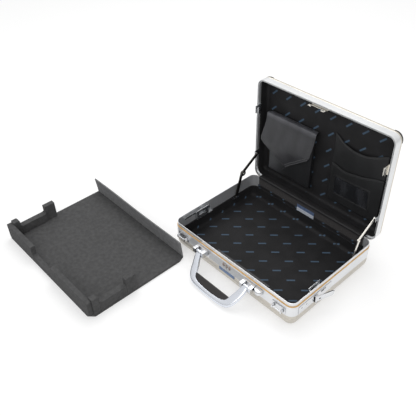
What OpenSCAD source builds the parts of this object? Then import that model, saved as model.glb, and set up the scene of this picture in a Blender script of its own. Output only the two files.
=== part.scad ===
/* [Case] */
// Width of the case over its frames
case_w = 458; // [452:1:464]
// Depth of the case from front frame to rear frame
case_d = 340; // [338:1:344]
// Plan radius of the frame corners
corner_r = 23; // [23:0.5:26]
// Height of the closed case above the floor
closed_h = 122; // [122:1:126]
// Sheet thickness of the two outer shells
shell_t = 1.6; // [1.4:0.1:1.6]

/* [Frames] */
// Bottom edge of the base frame
frame_z = 40; // [39:1:41]
// Ledge that carries the seal
ledge_z = 74.5; // [74:0.5:74.5]
// Top of the base frame's tongue
tongue_z = 88; // [87:0.5:88]
// Upper edge of the lid frame
lid_frame_z = 103; // [102.5:0.5:103.5]

/* [Handle] */
// Sideways place of the handle, lock and hasp
front_x = -6.5; // [-8:0.5:-5]
// Half the distance between the handle's two arms at the pin
arm_half = 92; // [90:1:94]
// How far the handle reaches from its pins
handle_reach = 89; // [86:1:90]
// Droop of the handle below level when it rests
handle_droop = 42; // [40:1:42]

/* [Lining] */
// Floor height of the base lining's underside
lining_z = 6; // [6:0.5:7]
// Height of the base lining's top edge
lining_top = 46; // [44:1:46]

/* [Stays] */
// Width of the stay links
stay_w = 9; // [8:0.5:9]
// Radius of the stay pins
stay_pin_r = 2.5; // [2:0.1:2.5]

/* [Tray] */
// Thickness of the tray's floor
tray_t = 8; // [6:1:9]
// Height of the tray's rear flap
flap_z = 62; // [50:1:66]
// Height of the tray's pillars and corner posts
post_z = 62; // [50:1:66]

/* [Hidden] */
$fn = 64;

half_w = case_w / 2;
half_d = case_d / 2;
parting_z = 80;
run_gap = 0.05;

// Insets measured inward from the frame face
shell_in = 1.0;
skirt_t = 1.7;
tongue_out = 2.0;
tongue_in = 3.7;
lip_out = 4.0;
lip_in = 4.8;
lining_out = 3.9;
lining_t = 1.8;
lid_lining_out = 5.0;
lid_lining_t = 1.6;
slot_out = 0.9;
slot_in = 2.7;
slot_depth = 5.5;

base_edge_r = 20;
lid_edge_r = 15;
lining_edge_r = 13;
lid_lining_r = 11;
wall_z = 89;
lip_z = 81;
lip_rear_y = 140;
lid_lining_z = 90;
roof_gap = 1.9;
roof_z = closed_h - roof_gap - lid_lining_t;

// Hinge axis, behind the rear face
axis_gap = 2.6;
hinge_y = half_d + axis_gap;
hinge_z = 79.4;
knuckle_r = 2.2;
pin_r = 1.1;
leaf_t = 1;
knuckles = 19;
knuckle_pitch = 20;
knuckle_gap = 0.3;
hinge_len = knuckles * knuckle_pitch;

// The lid is drawn closed; these turn a place seen in the open lid to the closed one
function closed_y(open_z) = hinge_y + hinge_z - open_z;
function closed_z(open_y) = hinge_z + open_y - hinge_y;

// Distance from the corner arc's centre for a given inset from the face
function at(inset) = corner_r - inset;

// Carries a section round the case; its x is measured outward from the corner centres
module sweep_round() {
    lx = half_w - corner_r;
    ly = half_d - corner_r;
    for (turn = [0, 180]) rotate([0, 0, turn]) {
        translate([lx, ly, 0]) rotate_extrude(angle = 90) children();
        translate([-lx, ly, 0]) rotate([0, 0, 90]) rotate_extrude(angle = 90) children();
        translate([lx, ly, 0]) rotate([90, 0, 0]) linear_extrude(2 * ly) children();
        translate([-lx, ly, 0]) rotate([90, 0, 90]) linear_extrude(2 * lx) children();
    }
}

// Bent sheet section: a wall from the flat at z = 0 up to top, with a round edge of radius r
module pan_section(inset, t, r, top) {
    arc_x = at(inset) - r;
    translate([at(inset) - t, r]) square([t, top - r]);
    if (arc_x > 0) square([arc_x, t]);
    intersection() {
        difference() {
            translate([arc_x, r]) circle(r);
            translate([arc_x, r]) circle(r - t);
        }
        translate([arc_x, 0]) square([r, r]);
    }
}

// A pan: the bent section carried round, and the flat between the corner centres
module pan(inset, t, r, top) {
    sweep_round() pan_section(inset, t, r, top);
    translate([-(half_w - corner_r), -(half_d - corner_r), 0])
        cube([case_w - 2 * corner_r, case_d - 2 * corner_r, t]);
}

// A box given by its two opposite corners
module span(lo, hi) {
    translate(lo) cube(hi - lo);
}

// A section drawn in (y, z) and extruded along X from x0 to x1
module along_x(x0, x1) {
    translate([x0, 0, 0]) rotate([90, 0, 90]) linear_extrude(x1 - x0) children();
}

// A section drawn in (x, z) and extruded along Y from y0 to y1
module along_y(y0, y1) {
    translate([0, y1, 0]) rotate([90, 0, 0]) linear_extrude(y1 - y0) children();
}

// A round bar along X
module bar_x(x0, x1, r) {
    translate([x0, 0, 0]) rotate([0, 90, 0]) cylinder(r = r, h = x1 - x0);
}

// A round bar along Y
module bar_y(y0, y1, r) {
    translate([0, y0, 0]) rotate([-90, 0, 0]) cylinder(r = r, h = y1 - y0);
}

// Turns a closed lid piece to the open position in which the case rests
module open_lid() {
    translate([0, hinge_y, hinge_z]) rotate([-90, 0, 0]) translate([0, -hinge_y, -hinge_z]) children();
}

// The same piece on the right, or mirrored to the left
module on_side(side) {
    if (side > 0) children();
    else mirror([1, 0, 0]) children();
}

// Base shell and its raised bead
bead_z = 26;
bead_h = 3;
bead_out = 0.9;

module bead_section() {
    polygon([[0, -bead_h], [bead_out, -bead_h / 2], [bead_out, bead_h / 2], [0, bead_h]]);
}

module base_shell() color([0.80, 0.76, 0.68]) {
    pan(shell_in, shell_t, base_edge_r, frame_z + slot_depth - 0.5);
    sweep_round() translate([at(shell_in), bead_z]) bead_section();
}

// Base frame: the face, the seal's ledge, the tongue, and a slot that holds the shell's edge
face_groove_z = 70;
face_groove = 0.35;

module base_frame_section() {
    difference() {
        polygon([
            [at(tongue_in), frame_z], [at(0), frame_z],
            [at(0), face_groove_z], [at(face_groove), face_groove_z + face_groove],
            [at(0), face_groove_z + 2 * face_groove],
            [at(0), ledge_z], [at(tongue_out), ledge_z],
            [at(tongue_out), tongue_z - 0.4], [at(tongue_out + 0.4), tongue_z],
            [at(tongue_in - 0.4), tongue_z], [at(tongue_in), tongue_z - 0.4]
        ]);
        translate([at(slot_in), frame_z - 1]) square([slot_in - slot_out, slot_depth + 1]);
    }
}

// Lock plate, dials and their slots in the front of the base frame
plate_x0 = -77;
plate_x1 = 64;
plate_z0 = 41.5;
plate_z1 = 68.5;
pocket_depth = 0.4;
plate_t = 0.6;
dial_r = 8.8;
dial_w = 5;
dial_pitch = 11.5;
dial_y = -half_d + 6;
dial_z = 58;
dial_slot_w = 5.8;
dial_slot_h = 18.4;
plate_slot_h = 14.2;
axle_r = 1.5;

// Release button and its stem
button_x0 = 107;
button_w = 23;
button_out = 15;
button_z0 = 56;
button_z1 = 70;
stem_x = 117;
stem_w = 6;
stem_z0 = 62;
stem_z1 = 70;
bolt_travel = 6;

// Side latches
latch_y0 = -146;
latch_y1 = -14;
latch_z0 = 40.5;
latch_z1 = 67;
latch_plate_t = 0.9;
window_y0 = -57;
window_y1 = -38;
window_z0 = 56.5;
window_z1 = 63.5;
lever_x = half_w + 4.4;
lever_y = -80;
lever_open = 18;
lever_z0 = 42;
lever_z1 = 60;
lever_len = 55;
lever_t = 2.6;
lever_knuckle_r = 3.2;
lug_t = 2.2;

module base_frame() color([0.86, 0.87, 0.88]) difference() {
    sweep_round() base_frame_section();
    span([plate_x0 - 0.3, -half_d - 1, plate_z0 - 0.3], [plate_x1 + 0.3, -half_d + pocket_depth, plate_z1 + 0.3]);
    dial_slots(-half_d - 1, -half_d + 6, dial_slot_h);
    span([stem_x - stem_w / 2 - 0.4, -half_d - 1, stem_z0 - 0.4],
         [stem_x + stem_w / 2 + bolt_travel + 0.4, -half_d + 6, stem_z1 + 0.4]);
    for (side = [-1, 1]) on_side(side)
        span([half_w - 6, window_y0, window_z0], [half_w + 1, window_y1, window_z1]);
}

module dial_slots(y0, y1, h) {
    for (k = [-1, 0, 1])
        span([front_x + k * dial_pitch - dial_slot_w / 2, y0, dial_z - h / 2],
             [front_x + k * dial_pitch + dial_slot_w / 2, y1, dial_z + h / 2]);
}

// Seal on the ledge, all round
gasket_in = 0.4;
gasket_top = 79.8;

module gasket() color([0.80, 0.56, 0.24])
    sweep_round() translate([at(tongue_out), ledge_z])
        square([tongue_out - gasket_in, gasket_top - ledge_z]);

// Fabric-covered lining of the base, with a piped top edge
module base_lining() color([0.05, 0.05, 0.06]) {
    translate([0, 0, lining_z]) pan(lining_out, lining_t, lining_edge_r, lining_top - lining_z);
    sweep_round() translate([at(lining_out + lining_t), lining_top - 1.6]) circle(1);
}

// Hook-and-loop strip on the rear of the frame, above the lining
strip_half = 200;
strip_t = 1.3;
strip_z0 = 57;
strip_z1 = 87.4;

module rear_strip() color([0.20, 0.19, 0.18])
    span([-strip_half, half_d - tongue_in - strip_t, strip_z0], [strip_half, half_d - tongue_in, strip_z1]);

// Bare two-tone label plate in the middle of the rear wall
label_x0 = -39;
label_x1 = 26;
label_z0 = 47;
label_z1 = 71;

module blank_label() color([0.75, 0.78, 0.82]) {
    y1 = half_d - tongue_in - strip_t - 0.1;
    span([label_x0, y1 - 1, label_z0], [label_x1, y1, label_z1]);
    span([label_x0 + 2, y1 - 1.6, label_z0 + 2], [label_x1 - 2, y1 - 1, (label_z0 + label_z1) / 2]);
}

// Four rubber feet on the rear of the frame, for standing the closed case on its hinge side
foot_pitch = 110;
foot_z = 51;
foot_r = 6;
foot_h = 6;

module base_feet() color([0.08, 0.08, 0.08])
    for (k = [-1.5 : 1.5])
        translate([k * foot_pitch, half_d, foot_z]) bar_y(0, foot_h, foot_r);

// Piano hinge: each leaf has a flat, tabs and every second knuckle
base_leaf_z0 = 62;
lid_leaf_z1 = 96;

function knuckle_x(k) = -hinge_len / 2 + k * knuckle_pitch + knuckle_gap / 2;

module knuckle_row(first) {
    for (k = [first : 2 : knuckles - 1])
        translate([knuckle_x(k), hinge_y, hinge_z])
            rotate([0, 90, 0]) cylinder(r = knuckle_r, h = knuckle_pitch - knuckle_gap);
}

module hinge_bore() {
    translate([0, hinge_y, hinge_z]) bar_x(-hinge_len / 2 - 1, hinge_len / 2 + 1, pin_r + run_gap);
}

module hinge_leaf_base() color([0.82, 0.83, 0.85]) difference() {
    union() {
        span([-hinge_len / 2, half_d, base_leaf_z0], [hinge_len / 2, half_d + leaf_t, hinge_z - axis_gap]);
        knuckle_row(0);
        for (k = [0 : 2 : knuckles - 1])
            span([knuckle_x(k), half_d, hinge_z - axis_gap],
                 [knuckle_x(k) + knuckle_pitch - knuckle_gap, half_d + leaf_t, hinge_z]);
    }
    hinge_bore();
}

module hinge_leaf_lid() color([0.82, 0.83, 0.85]) open_lid() difference() {
    union() {
        span([-hinge_len / 2, half_d, hinge_z + axis_gap], [hinge_len / 2, half_d + leaf_t, lid_leaf_z1]);
        knuckle_row(1);
        for (k = [1 : 2 : knuckles - 1])
            span([knuckle_x(k), half_d, hinge_z],
                 [knuckle_x(k) + knuckle_pitch - knuckle_gap, half_d + leaf_t, hinge_z + axis_gap]);
    }
    hinge_bore();
}

module hinge_pin() color([0.6, 0.6, 0.62])
    translate([0, hinge_y, hinge_z]) bar_x(-hinge_len / 2, hinge_len / 2, pin_r);

// Domed rivet heads on the outer faces of the two leaves
rivet_r = 1.8;
rivet_h = 0.8;
rivet_pitch = 60;
base_rivet_z = 66;
lid_rivet_z = 91;

module rivet_row(z) {
    for (k = [-3 : 3])
        translate([k * rivet_pitch, half_d + leaf_t, z]) bar_y(0, rivet_h, rivet_r);
}

module base_rivets() color([0.7, 0.7, 0.72]) rivet_row(base_rivet_z);

module lid_rivets() color([0.7, 0.7, 0.72]) open_lid() rivet_row(lid_rivet_z);

// Combination lock on the front
module lock_plate() color([0.62, 0.63, 0.64]) difference() {
    span([plate_x0, -half_d + pocket_depth - plate_t, plate_z0], [plate_x1, -half_d + pocket_depth, plate_z1]);
    dial_slots(-half_d - 1, -half_d + 6, plate_slot_h);
}

module dial(k) color([0.42, 0.36, 0.32]) {
    x = front_x + (k - 2) * dial_pitch;
    translate([x, dial_y, dial_z]) difference() {
        bar_x(-dial_w / 2, dial_w / 2, dial_r);
        bar_x(-dial_w, dial_w, axle_r + run_gap);
        for (notch = [0 : 9]) rotate([36 * notch, 0, 0])
            span([-dial_w, -1, dial_r - 0.5], [dial_w, 1, dial_r + 1]);
    }
}

module dial_1() { dial(1); }
module dial_2() { dial(2); }
module dial_3() { dial(3); }

// Lock case behind the frame, open toward the frame, with two slots for the hasp
case_x0 = -60;
case_x1 = 134;
case_y1 = -149;
case_z0 = 46.6;
case_z1 = 73;
case_wall = 1.5;
hasp_half = 27.5;
hasp_leg = 4;
hook_len = 7;
hook_h = 3;
hook_z0 = 64;
hasp_t = 1.5;
hasp_y0 = -half_d + lip_in + 0.1;
hasp_top = 89.5;
hasp_z0 = 80.5;
slot_margin = 1;
web_t = 1.5;

module hasp_slot(side) {
    x0 = side < 0 ? front_x - hasp_half : front_x + hasp_half - hasp_leg - hook_len;
    span([x0 - slot_margin, hasp_y0 - slot_margin, case_z1 - case_wall - 0.5],
         [x0 + hasp_leg + hook_len + slot_margin, hasp_y0 + hasp_t + slot_margin, case_z1 + 1]);
}

module lock_case() color([0.12, 0.12, 0.13]) {
    y0 = -half_d + tongue_in;
    difference() {
        span([case_x0, y0, case_z0], [case_x1, case_y1, case_z1]);
        span([case_x0 + case_wall, y0 - 1, case_z0 + case_wall],
             [case_x1 - case_wall, case_y1 - case_wall, case_z1 - case_wall]);
        hasp_slot(-1);
        hasp_slot(1);
    }
    for (x = [front_x - 1.5 * dial_pitch - web_t / 2, front_x + 1.5 * dial_pitch - web_t / 2])
        difference() {
            span([x, y0 + 0.1, case_z0 + case_wall], [x + web_t, case_y1 - case_wall, dial_z + 4]);
            translate([0, dial_y, dial_z]) bar_x(x - 1, x + web_t + 1, axle_r + run_gap);
        }
}

module dial_axle() color([0.6, 0.6, 0.62])
    translate([0, dial_y, dial_z])
        bar_x(front_x - 1.5 * dial_pitch - 2, front_x + 1.5 * dial_pitch + 2, axle_r);

// Two bolts that part to cover the hasp's hooks; the right one carries the release button
finger_w = 6;
finger_y0 = -half_d + tongue_in + 0.5;
finger_y1 = -159;
bolt_z0 = 67.5;
bolt_z1 = 70;
left_finger_x = front_x - hasp_half + hasp_leg + hook_len + 1.2;
right_finger_x = front_x + hasp_half - hasp_leg - hook_len - 1.2 - finger_w;
left_bar_y0 = -157.8;
left_bar_y1 = -155;
right_bar_y0 = -161.8;

module lock_bolt_left() color([0.7, 0.71, 0.73]) {
    span([left_finger_x, finger_y0, bolt_z0], [left_finger_x + finger_w, left_bar_y1, bolt_z1]);
    span([left_finger_x, left_bar_y0, bolt_z0], [right_finger_x + 20, left_bar_y1, bolt_z1]);
}

module lock_bolt_right() color([0.7, 0.71, 0.73]) {
    span([right_finger_x, finger_y0, bolt_z0], [right_finger_x + finger_w, finger_y1, bolt_z1]);
    span([right_finger_x, right_bar_y0, bolt_z0], [stem_x + stem_w / 2, finger_y1, bolt_z1]);
    span([stem_x - stem_w / 2, -half_d - 0.5, stem_z0], [stem_x + stem_w / 2, finger_y1, stem_z1]);
}

module release_button() color([0.90, 0.91, 0.92]) {
    y1 = -half_d - 0.5;
    cx = button_x0 + button_w / 2;
    r = button_w / 2;
    difference() {
        intersection() {
            translate([cx, y1 - button_out + r, button_z0]) union() {
                cylinder(r = r, h = button_z1 - button_z0);
                span([-r, 0, 0], [r, button_out - r, button_z1 - button_z0]);
            }
            span([button_x0, y1 - button_out, button_z0], [button_x0 + button_w, y1, button_z1]);
        }
        difference() {
            span([button_x0 - 1, y1 - button_out - 1, 64], [button_x0 + button_w + 1, y1 - 2, 65.2]);
            translate([cx, y1 - button_out + r, 60]) cylinder(r = r - 0.8, h = 10);
        }
    }
}

// Bare badge plate below the lock
badge_x0 = -35.5;
badge_x1 = 22.5;
badge_z0 = 29;
badge_z1 = 39.6;

module blank_badge() color([0.25, 0.38, 0.58])
    span([badge_x0, -half_d + shell_in - 1.6, badge_z0], [badge_x1, -half_d + shell_in, badge_z1]);

// Handle: two clevis brackets, their pins, the bent frame and the grip
bracket_half = 20;
bracket_out = 24;
bracket_z0 = 52;
bracket_z1 = 70;
clevis_half = 10.4;
clevis_back = 7;
pivot_y = -half_d - 18;
pivot_z = 63.5;
handle_pin_r = 2.5;
hub_r = 5.8;
hub_half = 10;
hub_flat = 3.5;

module handle_bracket(side) color([0.88, 0.89, 0.90]) {
    x = front_x + side * arm_half;
    y1 = -half_d;
    y0 = y1 - bracket_out;
    r = 3.5;
    difference() {
        along_x(x - bracket_half, x + bracket_half) union() {
            translate([y0 + r, bracket_z0]) square([bracket_out - r, bracket_z1 - bracket_z0]);
            translate([y0, bracket_z0 + r]) square([r, bracket_z1 - bracket_z0 - 2 * r]);
            translate([y0 + r, bracket_z0 + r]) circle(r);
            translate([y0 + r, bracket_z1 - r]) circle(r);
        }
        span([x - clevis_half, y0 - 1, bracket_z0 - 1], [x + clevis_half, y1 - clevis_back, bracket_z1 + 1]);
        translate([0, pivot_y, pivot_z]) bar_x(x - bracket_half - 1, x + bracket_half + 1, handle_pin_r + run_gap);
    }
}

module handle_bracket_left() { handle_bracket(-1); }
module handle_bracket_right() { handle_bracket(1); }

module handle_pins() color([0.55, 0.55, 0.57])
    for (side = [-1, 1])
        translate([0, pivot_y, pivot_z])
            bar_x(front_x + side * arm_half - bracket_half, front_x + side * arm_half + bracket_half, handle_pin_r);

// The handle is drawn flat in (x, reach) and then tilted about its pins
arm_out = 9.2;
bend_x = 62;
grip_half = 57;
inner_reach = 51.5;
grip_gap = 0.2;
handle_t = 9;

handle_outer = [
    [-arm_half - arm_out, 4], [-arm_half - 8.5, 18], [-arm_half - 5, 42], [-87, 66],
    [-76, 78], [-bend_x, 83.5], [-25, handle_reach - 1], [0, handle_reach],
    [25, handle_reach - 1], [bend_x, 83.5], [76, 78], [87, 66],
    [arm_half + 5, 42], [arm_half + 8.5, 18], [arm_half + arm_out, 4]
];
// Far edge of the grip, a shallow crescent that the frame's inner edge follows
grip_edge = [
    [grip_half, inner_reach], [51, 57.5], [40, 61.8], [22, 64.2], [0, 65],
    [-22, 64.2], [-40, 61.8], [-51, 57.5], [-grip_half, inner_reach]
];
handle_inner = concat(
    [[arm_half - arm_out, 4], [arm_half - arm_out, 14], [80, 26], [74, 38], [68, 46]],
    [for (p = grip_edge) [p[0] + sign(p[0]) * grip_gap, p[1] + grip_gap]],
    [[-68, 46], [-74, 38], [-80, 26], [-arm_half + arm_out, 14], [-arm_half + arm_out, 4]]
);

module tilt_handle() {
    translate([front_x, pivot_y, pivot_z]) rotate([handle_droop, 0, 0]) children();
}

module handle_frame() color([0.78, 0.80, 0.83]) tilt_handle() {
    difference() {
        translate([0, 0, -handle_t / 2]) linear_extrude(handle_t) mirror([0, 1])
            polygon(concat(handle_outer, handle_inner));
        for (side = [-1, 1])
            bar_x(side * arm_half - 12, side * arm_half + 12, handle_pin_r + run_gap);
    }
    for (side = [-1, 1])
        difference() {
            bar_x(side * arm_half - arm_out, side * arm_half + arm_out, hub_r);
            bar_x(side * arm_half - 12, side * arm_half + 12, handle_pin_r + run_gap);
        }
}

module handle_grip() color([0.07, 0.07, 0.08]) tilt_handle()
    translate([0, 0, -handle_t / 2 - 0.6]) linear_extrude(handle_t + 1.2) mirror([0, 1]) polygon(grip_edge);

// Strap lugs near the front corners: a plate, two posts and a bar between them
lug_x0 = 163;
lug_x1 = 207;
lug_z0 = 42;
lug_z1 = 64;
lug_out = 12;

module strap_lug() {
    y1 = -half_d;
    span([lug_x0, y1 - 1.8, lug_z0], [lug_x1, y1, lug_z1]);
    for (x = [lug_x0 + 5, lug_x1 - 9])
        span([x, y1 - lug_out, lug_z0 + 6], [x + 4, y1 - 1.8, lug_z1 - 6]);
    translate([0, y1 - lug_out + 2, (lug_z0 + lug_z1) / 2]) bar_x(lug_x0 + 5, lug_x1 - 5, 2);
}

module strap_lug_left() color([0.85, 0.86, 0.87]) on_side(-1) strap_lug();
module strap_lug_right() color([0.85, 0.86, 0.87]) on_side(1) strap_lug();

// Side latch: outer plate with two lugs and a pin, lever, sliding bolt and inner guide
module latch_plate() {
    x1 = half_w + latch_plate_t;
    difference() {
        span([half_w, latch_y0, latch_z0], [x1, latch_y1, latch_z1]);
        span([half_w - 1, window_y0, window_z0], [half_w + 2, window_y1, window_z1]);
    }
    for (z = [lever_z1 + 0.3, lever_z0 - 0.3 - lug_t])
        difference() {
            union() {
                span([half_w + latch_plate_t, lever_y - 4, z], [lever_x, lever_y + 4, z + lug_t]);
                translate([lever_x, lever_y, z]) cylinder(r = 4, h = lug_t);
                span([half_w, lever_y - 4, z], [x1, lever_y + 4, z + lug_t]);
            }
            translate([lever_x, lever_y, z - 1]) cylinder(r = axle_r, h = lug_t + 2);
        }
    translate([lever_x, lever_y, lever_z0 - 0.3 - lug_t])
        cylinder(r = axle_r, h = lever_z1 - lever_z0 + 0.6 + 2 * lug_t);
    for (y = [-133, -114])
        translate([0, y, 56]) bar_x(x1, x1 + 0.7, 2);
}

module latch_plate_left() color([0.83, 0.84, 0.86]) on_side(-1) latch_plate();
module latch_plate_right() color([0.83, 0.84, 0.86]) on_side(1) latch_plate();

module latch_lever() {
    translate([lever_x, lever_y, 0]) rotate([0, 0, -lever_open]) difference() {
        union() {
            translate([0, 0, lever_z0]) cylinder(r = lever_knuckle_r, h = lever_z1 - lever_z0);
            span([-lever_t / 2, 0, lever_z0], [lever_t / 2, lever_len - 4, lever_z1]);
            span([-lever_t / 2, lever_len - 4, lever_z0 + 3], [lever_t / 2, lever_len, lever_z1 - 3]);
        }
        translate([0, 0, lever_z0 - 1]) cylinder(r = axle_r + run_gap, h = lever_z1 - lever_z0 + 2);
        translate([0, 10, 50]) bar_x(-5, 5, 3);
    }
}

module latch_lever_left() color([0.86, 0.87, 0.88]) on_side(-1) latch_lever();
module latch_lever_right() color([0.86, 0.87, 0.88]) on_side(1) latch_lever();

bolt_finger_z0 = 70;
bolt_finger_z1 = 75.5;

module latch_bolt() {
    span([221.5, -62, window_z0 + 1], [223.5, -34, bolt_finger_z1]);
    span([217, -62, bolt_finger_z0], [221.5, -53, bolt_finger_z1]);
    span([223.5, -46, window_z0 + 1], [half_w + 2, -41, window_z1 - 1]);
}

module latch_bolt_left() color([0.72, 0.73, 0.75]) on_side(-1) latch_bolt();
module latch_bolt_right() color([0.72, 0.73, 0.75]) on_side(1) latch_bolt();

guide_x0 = 213.5;
guide_x1 = half_w - tongue_in;
guide_y0 = -92;
guide_y1 = -28;
guide_t = 1.5;

module latch_guide() {
    difference() {
        span([guide_x0, guide_y0, 52], [guide_x0 + guide_t, -46, 84]);
        span([guide_x0 - 1, -84, 66], [guide_x0 + guide_t + 1, -58, 76]);
    }
    span([guide_x0, guide_y0, 52], [guide_x1, guide_y1, 52 + guide_t]);
    span([guide_x0, guide_y0, 52], [guide_x1, guide_y0 + guide_t, 79]);
    span([220.6, -135, 72.5], [222.2, guide_y0, 79]);
    span([220.6, -135, 72.5], [guide_x1, -132, 79]);
}

module latch_guide_left() color([0.55, 0.57, 0.60]) on_side(-1) latch_guide();
module latch_guide_right() color([0.55, 0.57, 0.60]) on_side(1) latch_guide();

// Lid stays: two flat links on each side, seen in the open position
base_pivot = [80, 42];
elbow = [105, 126];
lid_pivot = [170, 167];
lower_x = 219;
upper_x = 217;
link_t = 1.5;
head_t = 1.2;

// A flat link between two points of the (y, z) plane, from x to x + link_t
module link(a, b, x, bore_a, bore_b) {
    v = b - a;
    len = norm(v);
    turn = atan2(v[1], v[0]);
    translate([x, a[0], a[1]]) rotate([turn, 0, 0]) rotate([90, 0, 90]) difference() {
        linear_extrude(link_t) union() {
            translate([0, -stay_w / 2]) square([len, stay_w]);
            circle(stay_w / 2);
            translate([len, 0]) circle(stay_w / 2);
        }
        if (bore_a) translate([0, 0, -1]) cylinder(r = stay_pin_r + run_gap, h = link_t + 2);
        if (bore_b) translate([len, 0, -1]) cylinder(r = stay_pin_r + run_gap, h = link_t + 2);
    }
}

// The elbow is left open: each link carries its own rivet head
module stay_lower() {
    link(base_pivot, elbow, lower_x, true, false);
    translate([0, elbow[0], elbow[1]]) bar_x(lower_x + link_t, lower_x + link_t + 1, 3.6);
}

module stay_upper() {
    link(lid_pivot, elbow, upper_x, true, false);
    translate([0, elbow[0], elbow[1]]) bar_x(upper_x - head_t, upper_x, 3.6);
}

module stay_lower_left() color([0.62, 0.63, 0.65]) on_side(-1) stay_lower();
module stay_lower_right() color([0.85, 0.84, 0.80]) on_side(1) stay_lower();
module stay_upper_left() color([0.62, 0.63, 0.65]) on_side(-1) stay_upper();
module stay_upper_right() color([0.85, 0.84, 0.80]) on_side(1) stay_upper();

// A bracket plate, a pin through the link, and the pin's head on the far side of the link
module stay_anchor(at_yz, plate, plate_x0, x_link) {
    span([plate_x0, at_yz[0] - plate[0], at_yz[1] - plate[1]], [plate_x0 + 1, at_yz[0] + plate[0], at_yz[1] + plate[2]]);
    translate([0, at_yz[0], at_yz[1]]) {
        bar_x(x_link - 0.3, plate_x0, stay_pin_r);
        bar_x(x_link - 0.3 - head_t, x_link - 0.3, 4);
    }
}

module stay_anchors_base() color([0.6, 0.61, 0.63])
    for (side = [-1, 1]) on_side(side)
        stay_anchor(base_pivot, [13, 8, 1.2], half_w - lining_out - lining_t - 1, lower_x);

module stay_anchors_lid() color([0.6, 0.61, 0.63]) open_lid()
    for (side = [-1, 1]) on_side(side)
        stay_anchor([closed_y(lid_pivot[1]), closed_z(lid_pivot[0])], [9, 5, 12.5], half_w - lip_in - 1, upper_x);

// Lid shell: a pan upside down, with a bead of its own
module lid_shell() color([0.80, 0.76, 0.68]) open_lid() {
    translate([0, 0, closed_h]) mirror([0, 0, 1])
        pan(shell_in, shell_t, lid_edge_r, closed_h - lid_frame_z + slot_depth - 0.5);
    sweep_round() translate([at(shell_in), lid_frame_z + 3.2]) bead_section();
}

// Lid frame: skirt outside the tongue, lip inside it, solid wall and a slot for the shell
module lid_frame_section() {
    difference() {
        union() {
            translate([at(skirt_t), parting_z]) square([skirt_t, wall_z - parting_z]);
            translate([at(lip_in), wall_z]) square([lip_in, lid_frame_z - wall_z]);
        }
        translate([at(slot_in), lid_frame_z - slot_depth]) square([slot_in - slot_out, slot_depth + 1]);
        translate([at(0), lid_frame_z - 8]) rotate(45) square(0.6, center = true);
    }
}

module lid_frame() color([0.86, 0.87, 0.88]) open_lid() {
    sweep_round() lid_frame_section();
    difference() {
        sweep_round() translate([at(lip_in), lip_z]) square([lip_in - lip_out, wall_z - lip_z]);
        span([-half_w, lip_rear_y, lip_z - 1], [half_w, half_d + 1, wall_z]);
    }
}

// Lining of the lid
module lid_lining() color([0.05, 0.05, 0.06]) open_lid()
    translate([0, 0, closed_h - roof_gap]) mirror([0, 0, 1])
        pan(lid_lining_out, lid_lining_t, lid_lining_r, closed_h - roof_gap - lid_lining_z);

// Rubber guards round the lid's two front corners, over the shell's bend
guard_t = 1.4;
guard_run = 4;
guard_low = 3;

module guard_section() {
    arc_x = at(shell_in) - lid_edge_r;
    arc_z = closed_h - lid_edge_r;
    intersection() {
        difference() {
            translate([arc_x, arc_z]) circle(lid_edge_r + guard_t);
            translate([arc_x, arc_z]) circle(lid_edge_r);
        }
        translate([arc_x + 8, arc_z + guard_low]) square([lid_edge_r, lid_edge_r]);
    }
}

module corner_guard() {
    lx = half_w - corner_r;
    ly = half_d - corner_r;
    translate([lx, -ly, 0]) {
        rotate([0, 0, -90]) rotate_extrude(angle = 90) guard_section();
        translate([0, guard_run, 0]) rotate([90, 0, 0]) linear_extrude(guard_run) guard_section();
        translate([-guard_run, 0, 0]) rotate([90, 0, -90]) mirror([0, 0, 1]) linear_extrude(guard_run)
            guard_section();
    }
}

module lid_corners() color([0.08, 0.08, 0.08]) open_lid()
    for (side = [-1, 1]) on_side(side) corner_guard();

// Hasp on the lid's front wall: a bent plate with two hooked legs
module lid_hasp() color([0.86, 0.87, 0.88]) open_lid()
    along_y(hasp_y0, hasp_y0 + hasp_t) for (side = [-1, 1]) translate([front_x, 0]) {
        translate([-hasp_half, hasp_z0]) square([2 * hasp_half, hasp_top - hasp_z0]);
        translate([side * (hasp_half - hasp_leg / 2) - hasp_leg / 2, hook_z0])
            square([hasp_leg, hasp_z0 - hook_z0]);
        translate([side * (hasp_half - (hasp_leg + hook_len) / 2) - (hasp_leg + hook_len) / 2, hook_z0])
            square([hasp_leg + hook_len, hook_h]);
    }

// Strikes on the lid's sides, hooked for the sliding bolts
strike_x0 = 218.5;
strike_t = 1.5;

module lid_strike() {
    along_x(strike_x0, strike_x0 + strike_t) union() {
        translate([-88, 76]) square([32, 12]);
        translate([-88, hook_z0]) square([8, 12]);
        translate([-88, hook_z0]) square([24, 5]);
    }
    span([strike_x0 + strike_t, -88, 85.5], [half_w - lip_in, -56, 88]);
}

module lid_strike_left() color([0.80, 0.80, 0.78]) open_lid() on_side(-1) lid_strike();
module lid_strike_right() color([0.80, 0.80, 0.78]) open_lid() on_side(1) lid_strike();

// Pockets on the lid's roof, given as (x, height in the open lid) outlines
pocket_foot = 114.5;

module on_roof(z0, z1) {
    translate([0, 0, z0]) linear_extrude(z1 - z0) children();
}

module lid_outline(points) {
    polygon([for (p = points) [p[0], closed_y(p[1])]]);
}

pouch_t = 20;
flap_t = 1.8;
pouch_points = [[-187, 118], [-25, 118], [-25, 316], [-187, 316]];
flap_points = [
    [-199, 318], [-14, 318], [-19, 243], [-26, 233], [-104, 170], [-113, 163], [-124, 167], [-199, 222], [-206, 232]
];

// Side view of the flap: height in the open lid, and how far it stands off the pouch there
flap_side = [[318, 0], [306, 0], [238, 14], [224, 14], [162, 4]];
upper_points = [
    [34, pocket_foot], [203, pocket_foot], [203, 336], [194, 338], [168, 323],
    [137, 311], [104, 310], [68, 316], [40, 333], [34, 335]
];
lower_points = [
    [34, pocket_foot], [203, pocket_foot], [203, 256], [183, 252], [134, 239], [82, 230], [44, 237], [34, 240]
];
window_points = [[53, 142], [169, 143], [164, 203], [51, 199]];

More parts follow.
